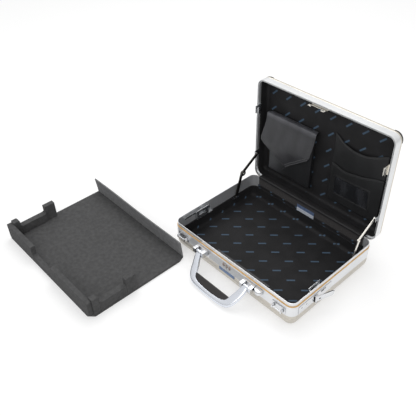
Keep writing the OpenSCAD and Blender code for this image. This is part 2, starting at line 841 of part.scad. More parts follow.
module organizer_pouch() color([0.09, 0.09, 0.10]) open_lid()
    on_roof(roof_z - pouch_t, roof_z) lid_outline(pouch_points);

module pouch_flap() color([0.10, 0.10, 0.11]) open_lid() {
    z1 = roof_z - pouch_t;
    front = [for (p = flap_side) [closed_y(p[0]), z1 - p[1] - flap_t]];
    back = [for (k = [len(flap_side) - 1 : -1 : 0]) [closed_y(flap_side[k][0]), z1 - flap_side[k][1]]];
    intersection() {
        along_x(flap_points[len(flap_points) - 1][0] - 1, flap_points[1][0] + 1) polygon(concat(front, back));
        on_roof(z1 - pouch_t, z1 + 1) lid_outline(flap_points);
    }
}

module upper_pocket() color([0.09, 0.09, 0.10]) open_lid()
    on_roof(roof_z - 2.5, roof_z) lid_outline(upper_points);

module lower_pocket() color([0.10, 0.10, 0.11]) open_lid()
    on_roof(roof_z - 5, roof_z - 2.5) lid_outline(lower_points);

module id_window() color([0.25, 0.27, 0.30]) open_lid()
    on_roof(roof_z - 6, roof_z - 5) lid_outline(window_points);

// Foam laptop tray, standing beside the case
tray_x0 = -600;
tray_x1 = -155;
tray_y0 = -525;
tray_y1 = -196;
tray_cut = 16;
front_t = 15;
front_z = 56;
notch_z = 22;
notch_x0 = -455;
notch_x1 = -345;
flap_w = 4;
side_t = 20;
rail_z = 38;
rail_y0 = -490;
pillar_y0 = -403;
pillar_y1 = -368;
pillar_t = 16;

module tray_plan() {
    polygon([
        [tray_x0 + 3, tray_y0], [tray_x1 - tray_cut, tray_y0], [tray_x1, tray_y0 + tray_cut],
        [tray_x1, tray_y1 - 20], [tray_x1 - 8, tray_y1], [tray_x0, tray_y1], [tray_x0, tray_y0 + 3]
    ]);
}

module tray_base() color([0.26, 0.26, 0.27]) linear_extrude(tray_t) tray_plan();

module tray_flap() color([0.26, 0.26, 0.27])
    along_x(tray_x0, tray_x1 - 8) polygon([
        [tray_y1 - flap_w, tray_t], [tray_y1, tray_t],
        [tray_y1 - 6, flap_z], [tray_y1 - 6 - flap_w, flap_z]
    ]);

module tray_front_wall() color([0.27, 0.27, 0.27]) intersection() {
    difference() {
        span([tray_x0, tray_y0, tray_t], [tray_x1, tray_y0 + front_t, front_z]);
        span([notch_x0, tray_y0 - 1, notch_z], [notch_x1, tray_y0 + front_t + 1, front_z + 1]);
    }
    linear_extrude(front_z + 1) tray_plan();
}

module tray_rails() color([0.27, 0.27, 0.27])
    for (x = [tray_x0, tray_x1 - side_t])
        span([x, rail_y0, tray_t], [x + side_t, pillar_y0, rail_z]);

module tray_pillars() color([0.27, 0.27, 0.27]) {
    for (x = [tray_x0, tray_x1 - pillar_t])
        span([x, pillar_y0, tray_t], [x + pillar_t, pillar_y1, post_z]);
    for (x = [tray_x0, tray_x1 - side_t])
        span([x, tray_y0 + front_t, tray_t], [x + side_t, rail_y0, post_z]);
}

base_shell();
base_frame();
gasket();
base_lining();
rear_strip();
blank_label();
base_feet();
hinge_leaf_base();
hinge_pin();
base_rivets();
lock_plate();
lock_case();
dial_axle();
blank_badge();
handle_bracket_left();
handle_bracket_right();
handle_pins();
strap_lug_left();
strap_lug_right();
latch_plate_left();
latch_plate_right();
latch_guide_left();
latch_guide_right();
stay_anchors_base();
dial_1();
dial_2();
dial_3();
lock_bolt_left();
lock_bolt_right();
release_button();
handle_frame();
handle_grip();
latch_lever_left();
latch_lever_right();
latch_bolt_left();
latch_bolt_right();
stay_lower_left();
stay_lower_right();
stay_upper_left();
stay_upper_right();
lid_shell();
lid_frame();
lid_lining();
lid_corners();
hinge_leaf_lid();
lid_rivets();
lid_hasp();
lid_strike_left();
lid_strike_right();
stay_anchors_lid();
organizer_pouch();
pouch_flap();
upper_pocket();
lower_pocket();
id_window();
tray_base();
tray_flap();
tray_front_wall();
tray_rails();
tray_pillars();
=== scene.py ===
"""Looks of the laptop hard case.

Metal, rubber and lining keep their CAD meshes and get materials. The handle, seal, hasp, pouch, pockets,
card window and foam tray are modelled here and stand in the place of their solids. Two strips of cloth at the
hinge and the knob on the left stay have no solid.
"""

import math

import bmesh
import bpy
from mathutils import Matrix, Vector, noise


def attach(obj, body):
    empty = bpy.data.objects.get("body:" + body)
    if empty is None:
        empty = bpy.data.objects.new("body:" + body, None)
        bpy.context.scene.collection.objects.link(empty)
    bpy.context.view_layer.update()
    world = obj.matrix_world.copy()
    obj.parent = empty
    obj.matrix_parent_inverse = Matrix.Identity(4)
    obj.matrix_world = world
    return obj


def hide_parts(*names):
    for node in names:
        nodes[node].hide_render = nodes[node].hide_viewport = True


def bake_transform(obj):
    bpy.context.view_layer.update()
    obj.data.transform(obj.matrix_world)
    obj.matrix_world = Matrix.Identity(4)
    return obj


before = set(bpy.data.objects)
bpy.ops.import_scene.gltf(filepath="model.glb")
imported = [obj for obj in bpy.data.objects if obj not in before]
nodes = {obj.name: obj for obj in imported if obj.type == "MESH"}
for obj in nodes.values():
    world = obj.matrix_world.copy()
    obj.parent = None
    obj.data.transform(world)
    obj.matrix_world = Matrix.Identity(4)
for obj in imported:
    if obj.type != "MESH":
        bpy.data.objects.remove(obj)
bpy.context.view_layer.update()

MM = 0.001
SAME_PLACE = 0.01

# The lid rests open. These planes of the open lid are the ones its pockets are built on.
ROOF_Y = 211.7
POUCH_FRONT_Y = 191.7


# Small helpers for meshes

def mm(x, y, z):
    return Vector((x, y, z)) * MM


def new_object(name, verts, faces, smooth=True):
    mesh = bpy.data.meshes.new(name)
    mesh.from_pydata([tuple(v) for v in verts], [], faces)
    mesh.validate()
    obj = bpy.data.objects.new(name, mesh)
    bpy.context.scene.collection.objects.link(obj)
    for face in mesh.polygons:
        face.use_smooth = smooth
    return obj


def loft(rings, closed=True, capped=True):
    """Vertices and faces of a skin over rings that all have the same number of points."""
    verts, faces = [], []
    n = len(rings[0])
    for ring in rings:
        verts.extend(ring)
    for i in range(len(rings) - 1):
        for k in range(n if closed else n - 1):
            a = i * n + k
            b = i * n + (k + 1) % n
            faces.append((a, b, b + n, a + n))
    if capped:
        faces.append(tuple(reversed(range(n))))
        faces.append(tuple(range(len(verts) - n, len(verts))))
    return verts, faces


def merged(parts):
    """One list of vertices and faces from several."""
    verts, faces = [], []
    for more_verts, more_faces in parts:
        first = len(verts)
        verts.extend(more_verts)
        faces.extend(tuple(first + i for i in face) for face in more_faces)
    return verts, faces


def fix_normals(obj):
    bm = bmesh.new()
    bm.from_mesh(obj.data)
    bmesh.ops.recalc_face_normals(bm, faces=bm.faces)
    bm.to_mesh(obj.data)
    bm.free()


def new_skin(name, verts, faces, smooth=True):
    """A new object whose faces all look the same way."""
    obj = new_object(name, verts, faces, smooth)
    fix_normals(obj)
    return obj


def closed_loft(name, rings):
    """A loft whose last ring is joined to its first."""
    obj = new_object(name, *loft(rings + [rings[0]], capped=False))
    bm = bmesh.new()
    bm.from_mesh(obj.data)
    bmesh.ops.remove_doubles(bm, verts=bm.verts, dist=SAME_PLACE * MM)
    bm.to_mesh(obj.data)
    bm.free()
    fix_normals(obj)
    return obj


def add_modifier(obj, kind, **settings):
    modifier = obj.modifiers.new(kind.lower(), kind)
    for key, value in settings.items():
        setattr(modifier, key, value)
    return modifier


def settle(obj):
    """Puts the result of the modifiers into the mesh."""
    bpy.context.view_layer.update()
    depsgraph = bpy.context.evaluated_depsgraph_get()
    mesh = bpy.data.meshes.new_from_object(obj.evaluated_get(depsgraph))
    obj.modifiers.clear()
    obj.data = mesh
    return obj


def open_loft(name, rows):
    return new_skin(name, *loft(rows, closed=False, capped=False))


def bevel(obj, width, segments, angle, **settings):
    """Rounds the edges that turn by more than that angle, in degrees."""
    add_modifier(obj, "BEVEL", width=width * MM, segments=segments, limit_method="ANGLE",
                 angle_limit=math.radians(angle), **settings)


def thick_sheet(name, rows, thickness):
    """A sheet over rows of points, thickened evenly to both sides."""
    obj = open_loft(name, rows)
    add_modifier(obj, "SOLIDIFY", thickness=thickness * MM, offset=0)
    return settle(obj)


def spread(lo, hi, steps):
    """Places from lo to hi, evenly apart."""
    return [lo + (hi - lo) * k / steps for k in range(steps + 1)]


def circle(count):
    """Unit points (cos, sin) round a circle."""
    return [(math.cos(a), math.sin(a)) for a in (2 * math.pi * k / count for k in range(count))]


def smooth_line(points, steps):
    """A Catmull-Rom curve through the points, with that many steps between two of them."""
    ext = [points[0] * 2 - points[1]] + list(points) + [points[-1] * 2 - points[-2]]
    line = []
    for i in range(1, len(ext) - 2):
        p0, p1, p2, p3 = ext[i - 1:i + 3]
        for s in range(steps):
            t = s / steps
            line.append(0.5 * (2 * p1 + (p2 - p0) * t + (2 * p0 - 5 * p1 + 4 * p2 - p3) * t * t
                               + (3 * p1 - p0 - 3 * p2 + p3) * t ** 3))
    line.append(points[-1].copy())
    return line


def evenly(line, step):
    """Points along a line, step apart."""
    out, left = [line[0].copy()], step
    for a, b in zip(line, line[1:]):
        length = (b - a).length
        along = left
        while along <= length:
            out.append(a.lerp(b, along / length))
            along += step
        left = along - length
    return out


def tube(line, radius, sides=8):
    """A round tube along a line."""
    rings = []
    for i, p in enumerate(line):
        ahead = (line[min(i + 1, len(line) - 1)] - line[max(i - 1, 0)]).normalized()
        side = ahead.cross(Vector((0, 0, 1)))
        if side.length < 0.2:
            side = ahead.cross(Vector((0, 1, 0)))
        side.normalize()
        up = side.cross(ahead)
        rings.append([p + (side * c + up * s) * radius for c, s in circle(sides)])
    return loft(rings)


def prism(outline, along, lo, hi):
    """A flat outline of two coordinates, drawn out from lo to hi along axis "x", "y" or "z"."""
    def point(p, h):
        return {"x": mm(h, p[0], p[1]), "y": mm(p[0], h, p[1]), "z": mm(p[0], p[1], h)}[along]

    return loft([[point(p, lo) for p in outline], [point(p, hi) for p in outline]])


def wave(t):
    """0 at the ends of 0 to 1 and 1 in the middle, smooth."""
    return math.sin(math.pi * max(0.0, min(1.0, t))) ** 2


def quarter_round(t):
    """Rises from 0 to 1 as a quarter of a circle."""
    return math.sqrt(max(0.0, 1 - (1 - min(1.0, t)) ** 2))


def smoothstep(t):
    t = max(0.0, min(1.0, t))
    return t * t * (3 - 2 * t)


# Materials

def toned(color, by):
    """A colour that many times as bright."""
    return (*[min(1.0, c * by) for c in color], 1)


class Nodes:
    """A node tree, with short calls for adding and joining its nodes."""

    def __init__(self, owner):
        owner.use_nodes = True
        self.tree = owner.node_tree

    def add(self, kind, inputs=None, **settings):
        node = self.tree.nodes.new(kind)
        for key, value in settings.items():
            setattr(node, key, value)
        for key, value in (inputs or {}).items():
            self.put(value, node.inputs[key])
        return node

    def put(self, value, socket):
        if isinstance(value, bpy.types.NodeSocket):
            self.tree.links.new(value, socket)
        else:
            socket.default_value = value

    def math(self, operation, a, b=0.0, c=0.0):
        return self.add("ShaderNodeMath", {0: a, 1: b, 2: c}, operation=operation).outputs[0]

    def ramp(self, value, low, high, to_low=0.0, to_high=1.0):
        node = self.add("ShaderNodeMapRange", {"Value": value, "From Min": low, "From Max": high,
                                               "To Min": to_low, "To Max": to_high})
        return node.outputs["Result"]


class Shade(Nodes):
    """A Principled material with short calls for its textures. Lengths are in metres on the object."""

    def __init__(self, name, color, rough, **sockets):
        self.material = bpy.data.materials.new(name)
        super().__init__(self.material)
        self.bsdf = self.tree.nodes["Principled BSDF"]
        self.base = self.bsdf.inputs["Base Color"]
        self.base.default_value = (*color, 1)
        self.bsdf.inputs["Roughness"].default_value = rough
        for key, value in sockets.items():
            self.bsdf.inputs[key.replace("_", " ")].default_value = value
        self.color = color
        self.coords = self.add("ShaderNodeTexCoord")

    def place(self, stretch=(1, 1, 1)):
        node = self.add("ShaderNodeMapping", {"Vector": self.coords.outputs["Object"], "Scale": stretch})
        return node.outputs["Vector"]

    def split(self, coordinates):
        return self.add("ShaderNodeSeparateXYZ", {0: self.coords.outputs[coordinates]}).outputs

    def noise(self, scale, detail=3.0, stretch=(1, 1, 1)):
        inputs = {"Vector": self.place(stretch), "Scale": scale, "Detail": detail}
        return self.add("ShaderNodeTexNoise", inputs).outputs["Fac"]

    def cells(self, scale, feature="F1"):
        node = self.add("ShaderNodeTexVoronoi", {"Vector": self.place(), "Scale": scale}, feature=feature)
        return node.outputs["Distance"]

    def mix(self, factor, a, b):
        return self.add("ShaderNodeMix", {0: factor, 6: a, 7: b}, data_type="RGBA").outputs[2]

    def vary(self, factor, darker, lighter):
        """The base colour varies between two multiples of itself."""
        self.put(self.mix(factor, toned(self.color, darker), toned(self.color, lighter)), self.base)

    def times(self, *gains):
        """Multiplies what feeds the base colour."""
        for gain in gains:
            color = self.base.links[0].from_socket
            node = self.add("ShaderNodeVectorMath", {0: color, 1: gain}, operation="MULTIPLY")
            self.put(node.outputs[0], self.base)

    def rough(self, factor, low, high):
        self.put(self.ramp(factor, 0.3, 0.7, low, high), self.bsdf.inputs["Roughness"])

    def bump(self, height, distance, strength=1.0, before=None):
        inputs = {"Height": height, "Distance": distance, "Strength": strength}
        if before is not None:
            inputs["Normal"] = before
        normal = self.add("ShaderNodeBump", inputs).outputs["Normal"]
        self.put(normal, self.bsdf.inputs["Normal"])
        return normal


def satin_metal(name, color, rough, lines, metallic=1.0):
    """Aluminium or steel with fine brush lines. In lines, a large number runs across the lines."""
    shade = Shade(name, color, rough, Metallic=metallic)
    brush = shade.noise(90.0, 4.0, lines)
    cloud = shade.noise(9.0, 2.0)
    shade.vary(shade.ramp(cloud, 0.35, 0.65), 0.95, 1.025)
    shade.rough(brush, rough * 0.85, rough * 1.15)
    shade.bump(brush, 0.00002, 0.4)
    return shade.material


def polished_metal(name, color, rough=0.16, painted_shade_reach=0.007):
    """Bright plated metal, with faint handling marks in its gloss; its colour is darkened with painted shade
    in crevices and corners.
    """
    shade = Shade(name, color, rough, Metallic=1.0)
    marks = shade.noise(60.0, 5.0, (1, 1, 3))
    cloud = shade.noise(12.0, 2.0)
    shade.vary(shade.ramp(cloud, 0.35, 0.7), 0.95, 1.02)
    # Painted shade: ambient occlusion darkens the base colour in crevices and corners.
    open_share = shade.add("ShaderNodeAmbientOcclusion", {"Distance": painted_shade_reach}).outputs["AO"]
    shade.times(shade.ramp(open_share, 0.35, 0.8, 0.06, 1.0))
    shade.rough(marks, rough * 0.8, rough * 1.3)
    shade.bump(marks, 0.000006, 0.3)
    return shade.material


def leather(name, color, rough=0.42, painted_light=()):
    """Leather cloth: pebbled grain with finer pores.

    painted_light holds ramps of painted light: (axis, where it is palest, where it is plain, how many times
    as bright).
    """
    shade = Shade(name, color, rough, Specular_IOR_Level=0.5)
    pebbles = shade.cells(900.0, "SMOOTH_F1")
    pores = shade.noise(3200.0, 2.0)
    creases = shade.noise(28.0, 4.0, (1, 1, 0.35))
    shade.vary(shade.ramp(creases, 0.35, 0.7), 0.8, 1.25)
    # Painted light: along each listed axis the colour grows brighter toward its palest end.
    if painted_light:
        place = shade.split("Object")
        shade.times(*[shade.ramp(place[axis], plain, palest, 1.0, gain)
                      for axis, palest, plain, gain in painted_light])
    shade.rough(pebbles, rough * 0.85, rough * 1.25)
    grain = shade.bump(pebbles, 0.00016, 0.8)
    finer = shade.bump(pores, 0.00005, 0.6, grain)
    shade.bump(creases, 0.0012, 0.35, finer)
    return shade.material


def rubber(name, color, rough=0.6):
    shade = Shade(name, color, rough)
    speck = shade.noise(2500.0, 2.0)
    cloud = shade.noise(40.0, 3.0)
    shade.vary(shade.ramp(cloud, 0.3, 0.7), 0.85, 1.15)
    shade.rough(speck, rough * 0.9, rough * 1.1)
    shade.bump(speck, 0.00004, 0.7)
    return shade.material


def foam(name, color):
    """Cross-linked foam with a fine closed skin: small cells, larger soft mottling."""
    shade = Shade(name, color, 0.85, Specular_IOR_Level=0.25)
    cells = shade.cells(1500.0)
    pits = shade.noise(650.0, 3.0)
    mottle = shade.noise(95.0, 4.0)
    both = shade.math("MULTIPLY_ADD", shade.ramp(mottle, 0.3, 0.7), 0.6, shade.ramp(pits, 0.3, 0.7, 0.0, 0.4))
    shade.vary(both, 0.72, 1.28)
    small = shade.bump(cells, 0.00020, 0.6)
    medium = shade.bump(pits, 0.00035, 0.6, small)
    shade.bump(mottle, 0.0006, 0.35, medium)
    return shade.material


DASH_PITCH = 0.0525
DASH_LONG = 0.0235
DASH_WIDE = 0.0050
DASH_BLUR = 0.0006
DASH_PHASE = (0.2, 0.35)


def dashed_lining(name, color, dash_color):
    """Satin lining cloth with short woven bars at 45 degrees, on a square lattice laid flat on each wall."""
    shade = Shade(name, color, 0.62, Sheen_Weight=0.10, Sheen_Roughness=0.4, Specular_IOR_Level=0.25)
    place, facing = shade.split("Object"), shade.split("Normal")
    side_wall = shade.math("GREATER_THAN", shade.math("ABSOLUTE", facing[0]), 0.707)
    end_wall = shade.math("GREATER_THAN", shade.math("ABSOLUTE", facing[1]), 0.707)
    upright = shade.math("MAXIMUM", side_wall, end_wall)

    def either(test, if_true, if_false):
        return shade.add("ShaderNodeMix", {0: test, 2: if_false, 3: if_true}, data_type="FLOAT").outputs[0]

    flat = [either(side_wall, place[1], place[0]), either(upright, place[2], place[1])]
    inside = []
    for value, phase in zip(flat, DASH_PHASE):
        steps = shade.math("MULTIPLY_ADD", value, 1 / DASH_PITCH, phase)
        from_middle = shade.math("SUBTRACT", shade.math("FRACT", steps), 0.5)
        inside.append(shade.math("MULTIPLY", from_middle, DASH_PITCH))
    along = shade.math("MULTIPLY", shade.math("ADD", inside[0], inside[1]), math.sqrt(0.5))
    across = shade.math("MULTIPLY", shade.math("SUBTRACT", inside[1], inside[0]), math.sqrt(0.5))

    def within(value, wide):
        distance = shade.math("ABSOLUTE", value)
        return shade.ramp(distance, wide / 2 - DASH_BLUR, wide / 2 + DASH_BLUR, 1.0, 0.0)

    dash = shade.math("MULTIPLY", within(along, DASH_LONG), within(across, DASH_WIDE))
    threads = shade.ramp(shade.noise(1400.0, 1.0), 0.35, 0.6, 0.55, 1.0)
    dash = shade.math("MULTIPLY", dash, threads)

    cloud = shade.noise(22.0, 3.0)
    cloth = shade.mix(shade.ramp(cloud, 0.35, 0.65), toned(color, 0.8), toned(color, 1.3))
    shade.put(shade.mix(dash, cloth, (*dash_color, 1)), shade.base)
    weave = [shade.add("ShaderNodeTexWave", {"Vector": shade.coords.outputs["Object"], "Scale": 260.0},
                       bands_direction=axis).outputs["Fac"] for axis in ("X", "Y", "Z")]
    woven = shade.math("MULTIPLY", shade.math("ADD", weave[0], weave[1]), weave[2])
    first = shade.bump(woven, 0.00012, 0.5)
    shade.bump(cloud, 0.0015, 0.25, first)
    return shade.material


def pile_strip(name, color):
    """Hook-and-loop pile: short tangled loops."""
    shade = Shade(name, color, 0.95, Sheen_Weight=0.2, Sheen_Roughness=0.6, Specular_IOR_Level=0.2)
    loops = shade.noise(1100.0, 4.0)
    tufts = shade.cells(420.0)
    shade.vary(shade.ramp(loops, 0.3, 0.7), 0.55, 1.5)
    first = shade.bump(loops, 0.0007, 0.9)
    shade.bump(tufts, 0.0006, 0.6, first)
    return shade.material


def two_tone_plate(name, color, upper, split_z):
    """A bare plate with a darker upper field above split_z."""
    shade = Shade(name, color, 0.3, Coat_Weight=0.4)
    field = shade.math("GREATER_THAN", shade.split("Object")[2], split_z)
    cloud = shade.noise(120.0, 3.0)
    shade.rough(cloud, 0.22, 0.36)
    pale = shade.mix(shade.ramp(cloud, 0.3, 0.7), toned(color, 0.94), (*color, 1))
    shade.put(shade.mix(field, pale, (*upper, 1)), shade.base)
    shade.bump(cloud, 0.00005, 0.3)
    return shade.material


def gloss_plastic(name, color, rough=0.2):
    shade = Shade(name, color, rough, Coat_Weight=0.5, Coat_Roughness=0.08)
    cloud = shade.noise(80.0, 4.0)
    shade.vary(shade.ramp(cloud, 0.3, 0.7), 0.92, 1.06)
    shade.rough(cloud, rough * 0.8, rough * 1.3)
    shade.bump(cloud, 0.00004, 0.3)
    return shade.material


def textured_plate(name, color):
    """Fine pebbled grey lacquer on metal."""
    shade = Shade(name, color, 0.42, Metallic=0.75)
    grain = shade.cells(1100.0, "SMOOTH_F1")
    cloud = shade.noise(40.0, 3.0)
    shade.vary(shade.ramp(grain, 0.2, 0.7), 0.82, 1.12)
    shade.rough(cloud, 0.36, 0.5)
    shade.bump(grain, 0.00022, 0.9)
    return shade.material


ALONG_FLOOR = (1, 1, 26)
ALONG_LID = (1, 26, 1)
champagne = satin_metal("shell_champagne", (0.65, 0.615, 0.555), 0.36, ALONG_FLOOR, 0.8)
champagne_lid = satin_metal("shell_champagne_lid", (0.72, 0.675, 0.59), 0.36, ALONG_LID, 0.8)
silver = satin_metal("frame_silver", (0.84, 0.85, 0.87), 0.34, ALONG_FLOOR, 0.72)
silver_lid = satin_metal("frame_silver_lid", (0.84, 0.85, 0.86), 0.34, ALONG_LID, 0.72)
amber = rubber("seal_amber", (0.80, 0.47, 0.14), 0.5)
lining = dashed_lining("lining_black", (0.0125, 0.0122, 0.0132), (0.075, 0.125, 0.19))
cover_cloth = leather("hinge_cover_cloth", (0.013, 0.0125, 0.0135), 0.6)
strip = pile_strip("strip_grey", (0.026, 0.0225, 0.0225))
label = two_tone_plate("label_pale", (0.62, 0.66, 0.74), (0.11, 0.16, 0.28), 59.6 * MM)
black_rubber = rubber("black_rubber", (0.018, 0.018, 0.019))
hinge_steel = satin_metal("hinge_steel", (0.78, 0.79, 0.81), 0.28, ALONG_FLOOR)
lock_grey = textured_plate("lock_grey", (0.58, 0.59, 0.60))
case_black = rubber("lock_case_black", (0.03, 0.03, 0.032), 0.5)
badge_blue = gloss_plastic("badge_blue", (0.10, 0.19, 0.38))
bright = polished_metal("bright_metal", (0.76, 0.77, 0.79))
dial_brown = gloss_plastic("dial_brown", (0.36, 0.28, 0.24), 0.35)
handle_metal = polished_metal("handle_metal", (0.76, 0.79, 0.85), 0.22, 0.002)
grip_black = rubber("grip_black", (0.022, 0.020, 0.020), 0.45)
latch_steel = satin_metal("latch_steel", (0.70, 0.715, 0.73), 0.26, (1, 1, 8))
dark_steel = satin_metal("stay_dark", (0.085, 0.08, 0.075), 0.34, (1, 6, 1))
pale_steel = satin_metal("stay_pale", (0.86, 0.83, 0.77), 0.26, (1, 6, 1))
# Painted light: the flap is brighter along its top fold and toward its left, the pouch toward its left.
flap_leather = leather("flap_leather", (0.041, 0.0415, 0.046), 0.4,
                       [(2, 0.310, 0.300, 2.3), (0, -0.19, -0.08, 1.2)])
# A brighter copy of the flap leather for the welts: a painted highlight on their ridges.
welt_leather_painted_highlight = leather("welt_leather_painted_highlight", (0.085, 0.086, 0.092), 0.4)
pouch_leather = leather("pouch_leather", (0.011, 0.0115, 0.013), 0.5, [(0, -0.172, -0.12, 3.4)])
# Near-black leather for the painted shade inside the pockets' mouths.
pocket_mouth_painted_shade = leather("pocket_mouth_painted_shade", (0.0035, 0.0035, 0.004), 0.8)
pocket_leather = leather("pocket_leather", (0.0125, 0.013, 0.014), 0.5)
charcoal_foam = foam("tray_foam", (0.080, 0.080, 0.081))
# A brighter copy of the tray foam for the rear flap: painted light on its inner face.
flap_foam_painted_light = foam("tray_flap_foam", (0.2, 0.201, 0.205))

# The finish of each CAD node that keeps its own mesh, or has a modelled piece in its place
FINISH = [
    (champagne, "base_shell"),
    (champagne_lid, "lid_shell"),
    (silver, "base_frame"),
    (silver_lid, "lid_frame"),
    (amber, "gasket"),
    (lining, "base_lining lid_lining"),
    (strip, "rear_strip"),
    (label, "blank_label"),
    (black_rubber, "base_feet lid_corners"),
    (hinge_steel, "hinge_leaf_base hinge_leaf_lid hinge_pin dial_axle handle_pins"),
    (bright, "base_rivets lid_rivets handle_bracket_left handle_bracket_right strap_lug_left "
             "strap_lug_right latch_plate_left latch_plate_right release_button latch_lever_left "
             "latch_lever_right"),
    (lock_grey, "lock_plate"),
    (case_black, "lock_case"),
    (badge_blue, "blank_badge"),
    (latch_steel, "latch_guide_left latch_guide_right stay_anchors_base lock_bolt_left lock_bolt_right "
                  "latch_bolt_left latch_bolt_right lid_strike_left stay_anchors_lid"),
    (dial_brown, "dial_1 dial_2 dial_3"),
    (dark_steel, "stay_lower_left stay_upper_left"),
    (pale_steel, "stay_lower_right stay_upper_right lid_hasp lid_strike_right"),
]


def paint(obj, material):
    if obj.material_slots:
        for used in obj.material_slots:
            used.material = material
    else:
        obj.data.materials.append(material)


for finish, node_names in FINISH:
    for node_name in node_names.split():
        paint(nodes[node_name], finish)


# Handle: the frame and its grip are drawn flat in (x, reach from the pins) and tilted down about the pins

FRONT_X = -6.5
PIVOT_Y, PIVOT_Z = -188.0, 63.5
DROOP = math.radians(42)
ARM_HALF = 92.0
# Half of a hub's outline: distance along its pin from the middle, and radius
HUB_PROFILE = [(-9.2, 4.6), (-8.7, 5.4), (-7.8, 5.8), (7.8, 5.8), (8.7, 5.4), (9.2, 4.6)]
HUB_SIDES = 40

# Outer and inner edge of the handle's right half, from the hub to the middle
HANDLE_EDGES = [
    ((101.2, 2), (82.8, 2)), ((100.4, 14), (79.2, 12)), ((97.2, 28), (74.8, 24)), ((92.8, 42), (69.6, 36)),
    ((88.6, 55), (65.2, 47.5)), ((82.6, 66.5), (62.4, 55.5)), ((73, 76.3), (57.6, 62.2)),
    ((60, 82.2), (49.5, 66.8)), ((44, 84.8), (37.5, 69.2)), ((24, 86.1), (21.5, 70.8)),
    ((0, 86.5), (0, 71.4)),
]
HANDLE_SHIFT = 3.0
HANDLE_SHIFT_RUN = 40
LINE_STEPS = 8
FULL_SECTION = 14


def on_handle(x, reach, up=0.0):
    x += HANDLE_SHIFT * smoothstep(reach / HANDLE_SHIFT_RUN)
    return mm(FRONT_X + x, PIVOT_Y - reach * math.cos(DROOP) - up * math.sin(DROOP),
              PIVOT_Z - reach * math.sin(DROOP) + up * math.cos(DROOP))


def handle_lines():
    half = [(Vector((*o, 0)), Vector((*i, 0))) for o, i in HANDLE_EDGES]
    whole = half + [(Vector((-o.x, o.y, 0)), Vector((-i.x, i.y, 0))) for o, i in reversed(half[:-1])]
    return smooth_line([p[0] for p in whole], LINE_STEPS), smooth_line([p[1] for p in whole], LINE_STEPS)


# Section of the handle's frame: distance in from its inner or outer edge, and height
HANDLE_INNER_SIDE = [(0.9, -4.5), (0.25, -4.2), (0, -3.6), (0, -1), (0, 3.3), (0.3, 4.1), (1.1, 4.5)]
HANDLE_OUTER_SIDE = [(8.6, 4.5), (6.6, 4.3), (4.6, 3.6), (2.9, 2.5), (1.5, 1.1), (0.5, -0.5), (0, -2.2),
                     (0.4, -3.6), (1.4, -4.3), (2.8, -4.5)]


def handle_ring(inner, outer):
    width = (outer - inner).length
    toward = (outer - inner) / width
    fit = min(1.0, width / FULL_SECTION)
    flat = [inner + toward * d * fit for d, _ in HANDLE_INNER_SIDE]
    flat += [outer - toward * d * fit for d, _ in HANDLE_OUTER_SIDE]
    heights = [h for _, h in HANDLE_INNER_SIDE + HANDLE_OUTER_SIDE]
    return [on_handle(p.x, p.y, h) for p, h in zip(flat, heights)]


def handle_frame():
    outer, inner = handle_lines()
    rings = [handle_ring(a, b) for a, b in zip(inner, outer)]
    parts = [loft(rings)]
    for side in (-1, 1):
        hub = []
        for x, r in HUB_PROFILE:
            centre = mm(FRONT_X + side * ARM_HALF + x, PIVOT_Y, PIVOT_Z)
            hub.append([centre + mm(0, r * c, r * s) for c, s in circle(HUB_SIDES)])
        parts.append(loft(hub))
    return new_skin("handle_frame_body", *merged(parts))


GRIP_HALF = 63.0
GRIP_NEAR = 50.8
GRIP_EDGE = [(63, 51.4), (61.4, 57), (56.6, 62.6), (45, 67.6), (24, 70.3), (0, 71.2)]
GRIP_HALF_T = 5.1
GRIP_THIN = 0.72
GRIP_TAPER = 7.0
GRIP_ROUND = 1.6
GRIP_CORNER = 1.4
GRIP_STEPS = 26
RIB_PITCH = 2.1
RIB_DEPTH = 0.42


def handle_grip():
    """A crescent grip with ribs along its length on its upper and lower face."""
    half = [Vector((x, r, 0)) for x, r in GRIP_EDGE]
    far = smooth_line([Vector((-p.x, p.y, 0)) for p in half[:-1]] + half[::-1], LINE_STEPS)
    rings = []
    for p in far:
        depth = max(p.y - GRIP_NEAR, 0.3)
        full = smoothstep((GRIP_HALF - abs(p.x)) / GRIP_TAPER)
        half_t = GRIP_HALF_T * (GRIP_THIN + (1 - GRIP_THIN) * full)
        top = []
        for k in range(GRIP_STEPS + 1):
            reach = GRIP_NEAR + depth * k / GRIP_STEPS
            edge = min(k, GRIP_STEPS - k) / GRIP_STEPS * depth
            round_off = quarter_round(edge / GRIP_ROUND) if depth > 2 else 1.0
            rib = RIB_DEPTH * full * (0.5 + 0.5 * math.cos(2 * math.pi * reach / RIB_PITCH))
            top.append((reach, (half_t - GRIP_CORNER) + GRIP_CORNER * round_off - rib))
        section = top + [(reach, -height) for reach, height in reversed(top)]
        rings.append([on_handle(p.x, reach, height) for reach, height in section])
    return new_skin("handle_grip_body", *loft(rings))


handle = handle_frame()
paint(handle, handle_metal)
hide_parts("handle_frame")
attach(handle, "handle")

grip = handle_grip()
paint(grip, grip_black)
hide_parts("handle_grip")
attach(grip, "handle")


# Seal: a round-topped bead on the ledge of the base frame, outside the tongue

CASE_HALF = (229.0, 170.0)
CORNER_RADIUS = 23.0
CORNER_STEPS = 12
BEAD_SECTION = [(1.95, 74.6), (1.95, 76.5), (1.7, 77.0), (1.2, 77.25), (0.75, 77.1), (0.4, 76.6), (0.3, 75.8),
                (0.4, 74.6)]


def round_the_case(inset, z):
    """A loop at that inset from the outer face of the frame."""
    radius = CORNER_RADIUS - inset
    loop = []
    for sx, sy, start in ((1, 1, 0), (-1, 1, 90), (-1, -1, 180), (1, -1, 270)):
        cx, cy = sx * (CASE_HALF[0] - CORNER_RADIUS), sy * (CASE_HALF[1] - CORNER_RADIUS)
        for k in range(CORNER_STEPS + 1):
            a = math.radians(start + 90 * k / CORNER_STEPS)
            loop.append(mm(cx + radius * math.cos(a), cy + radius * math.sin(a), z))
    return loop


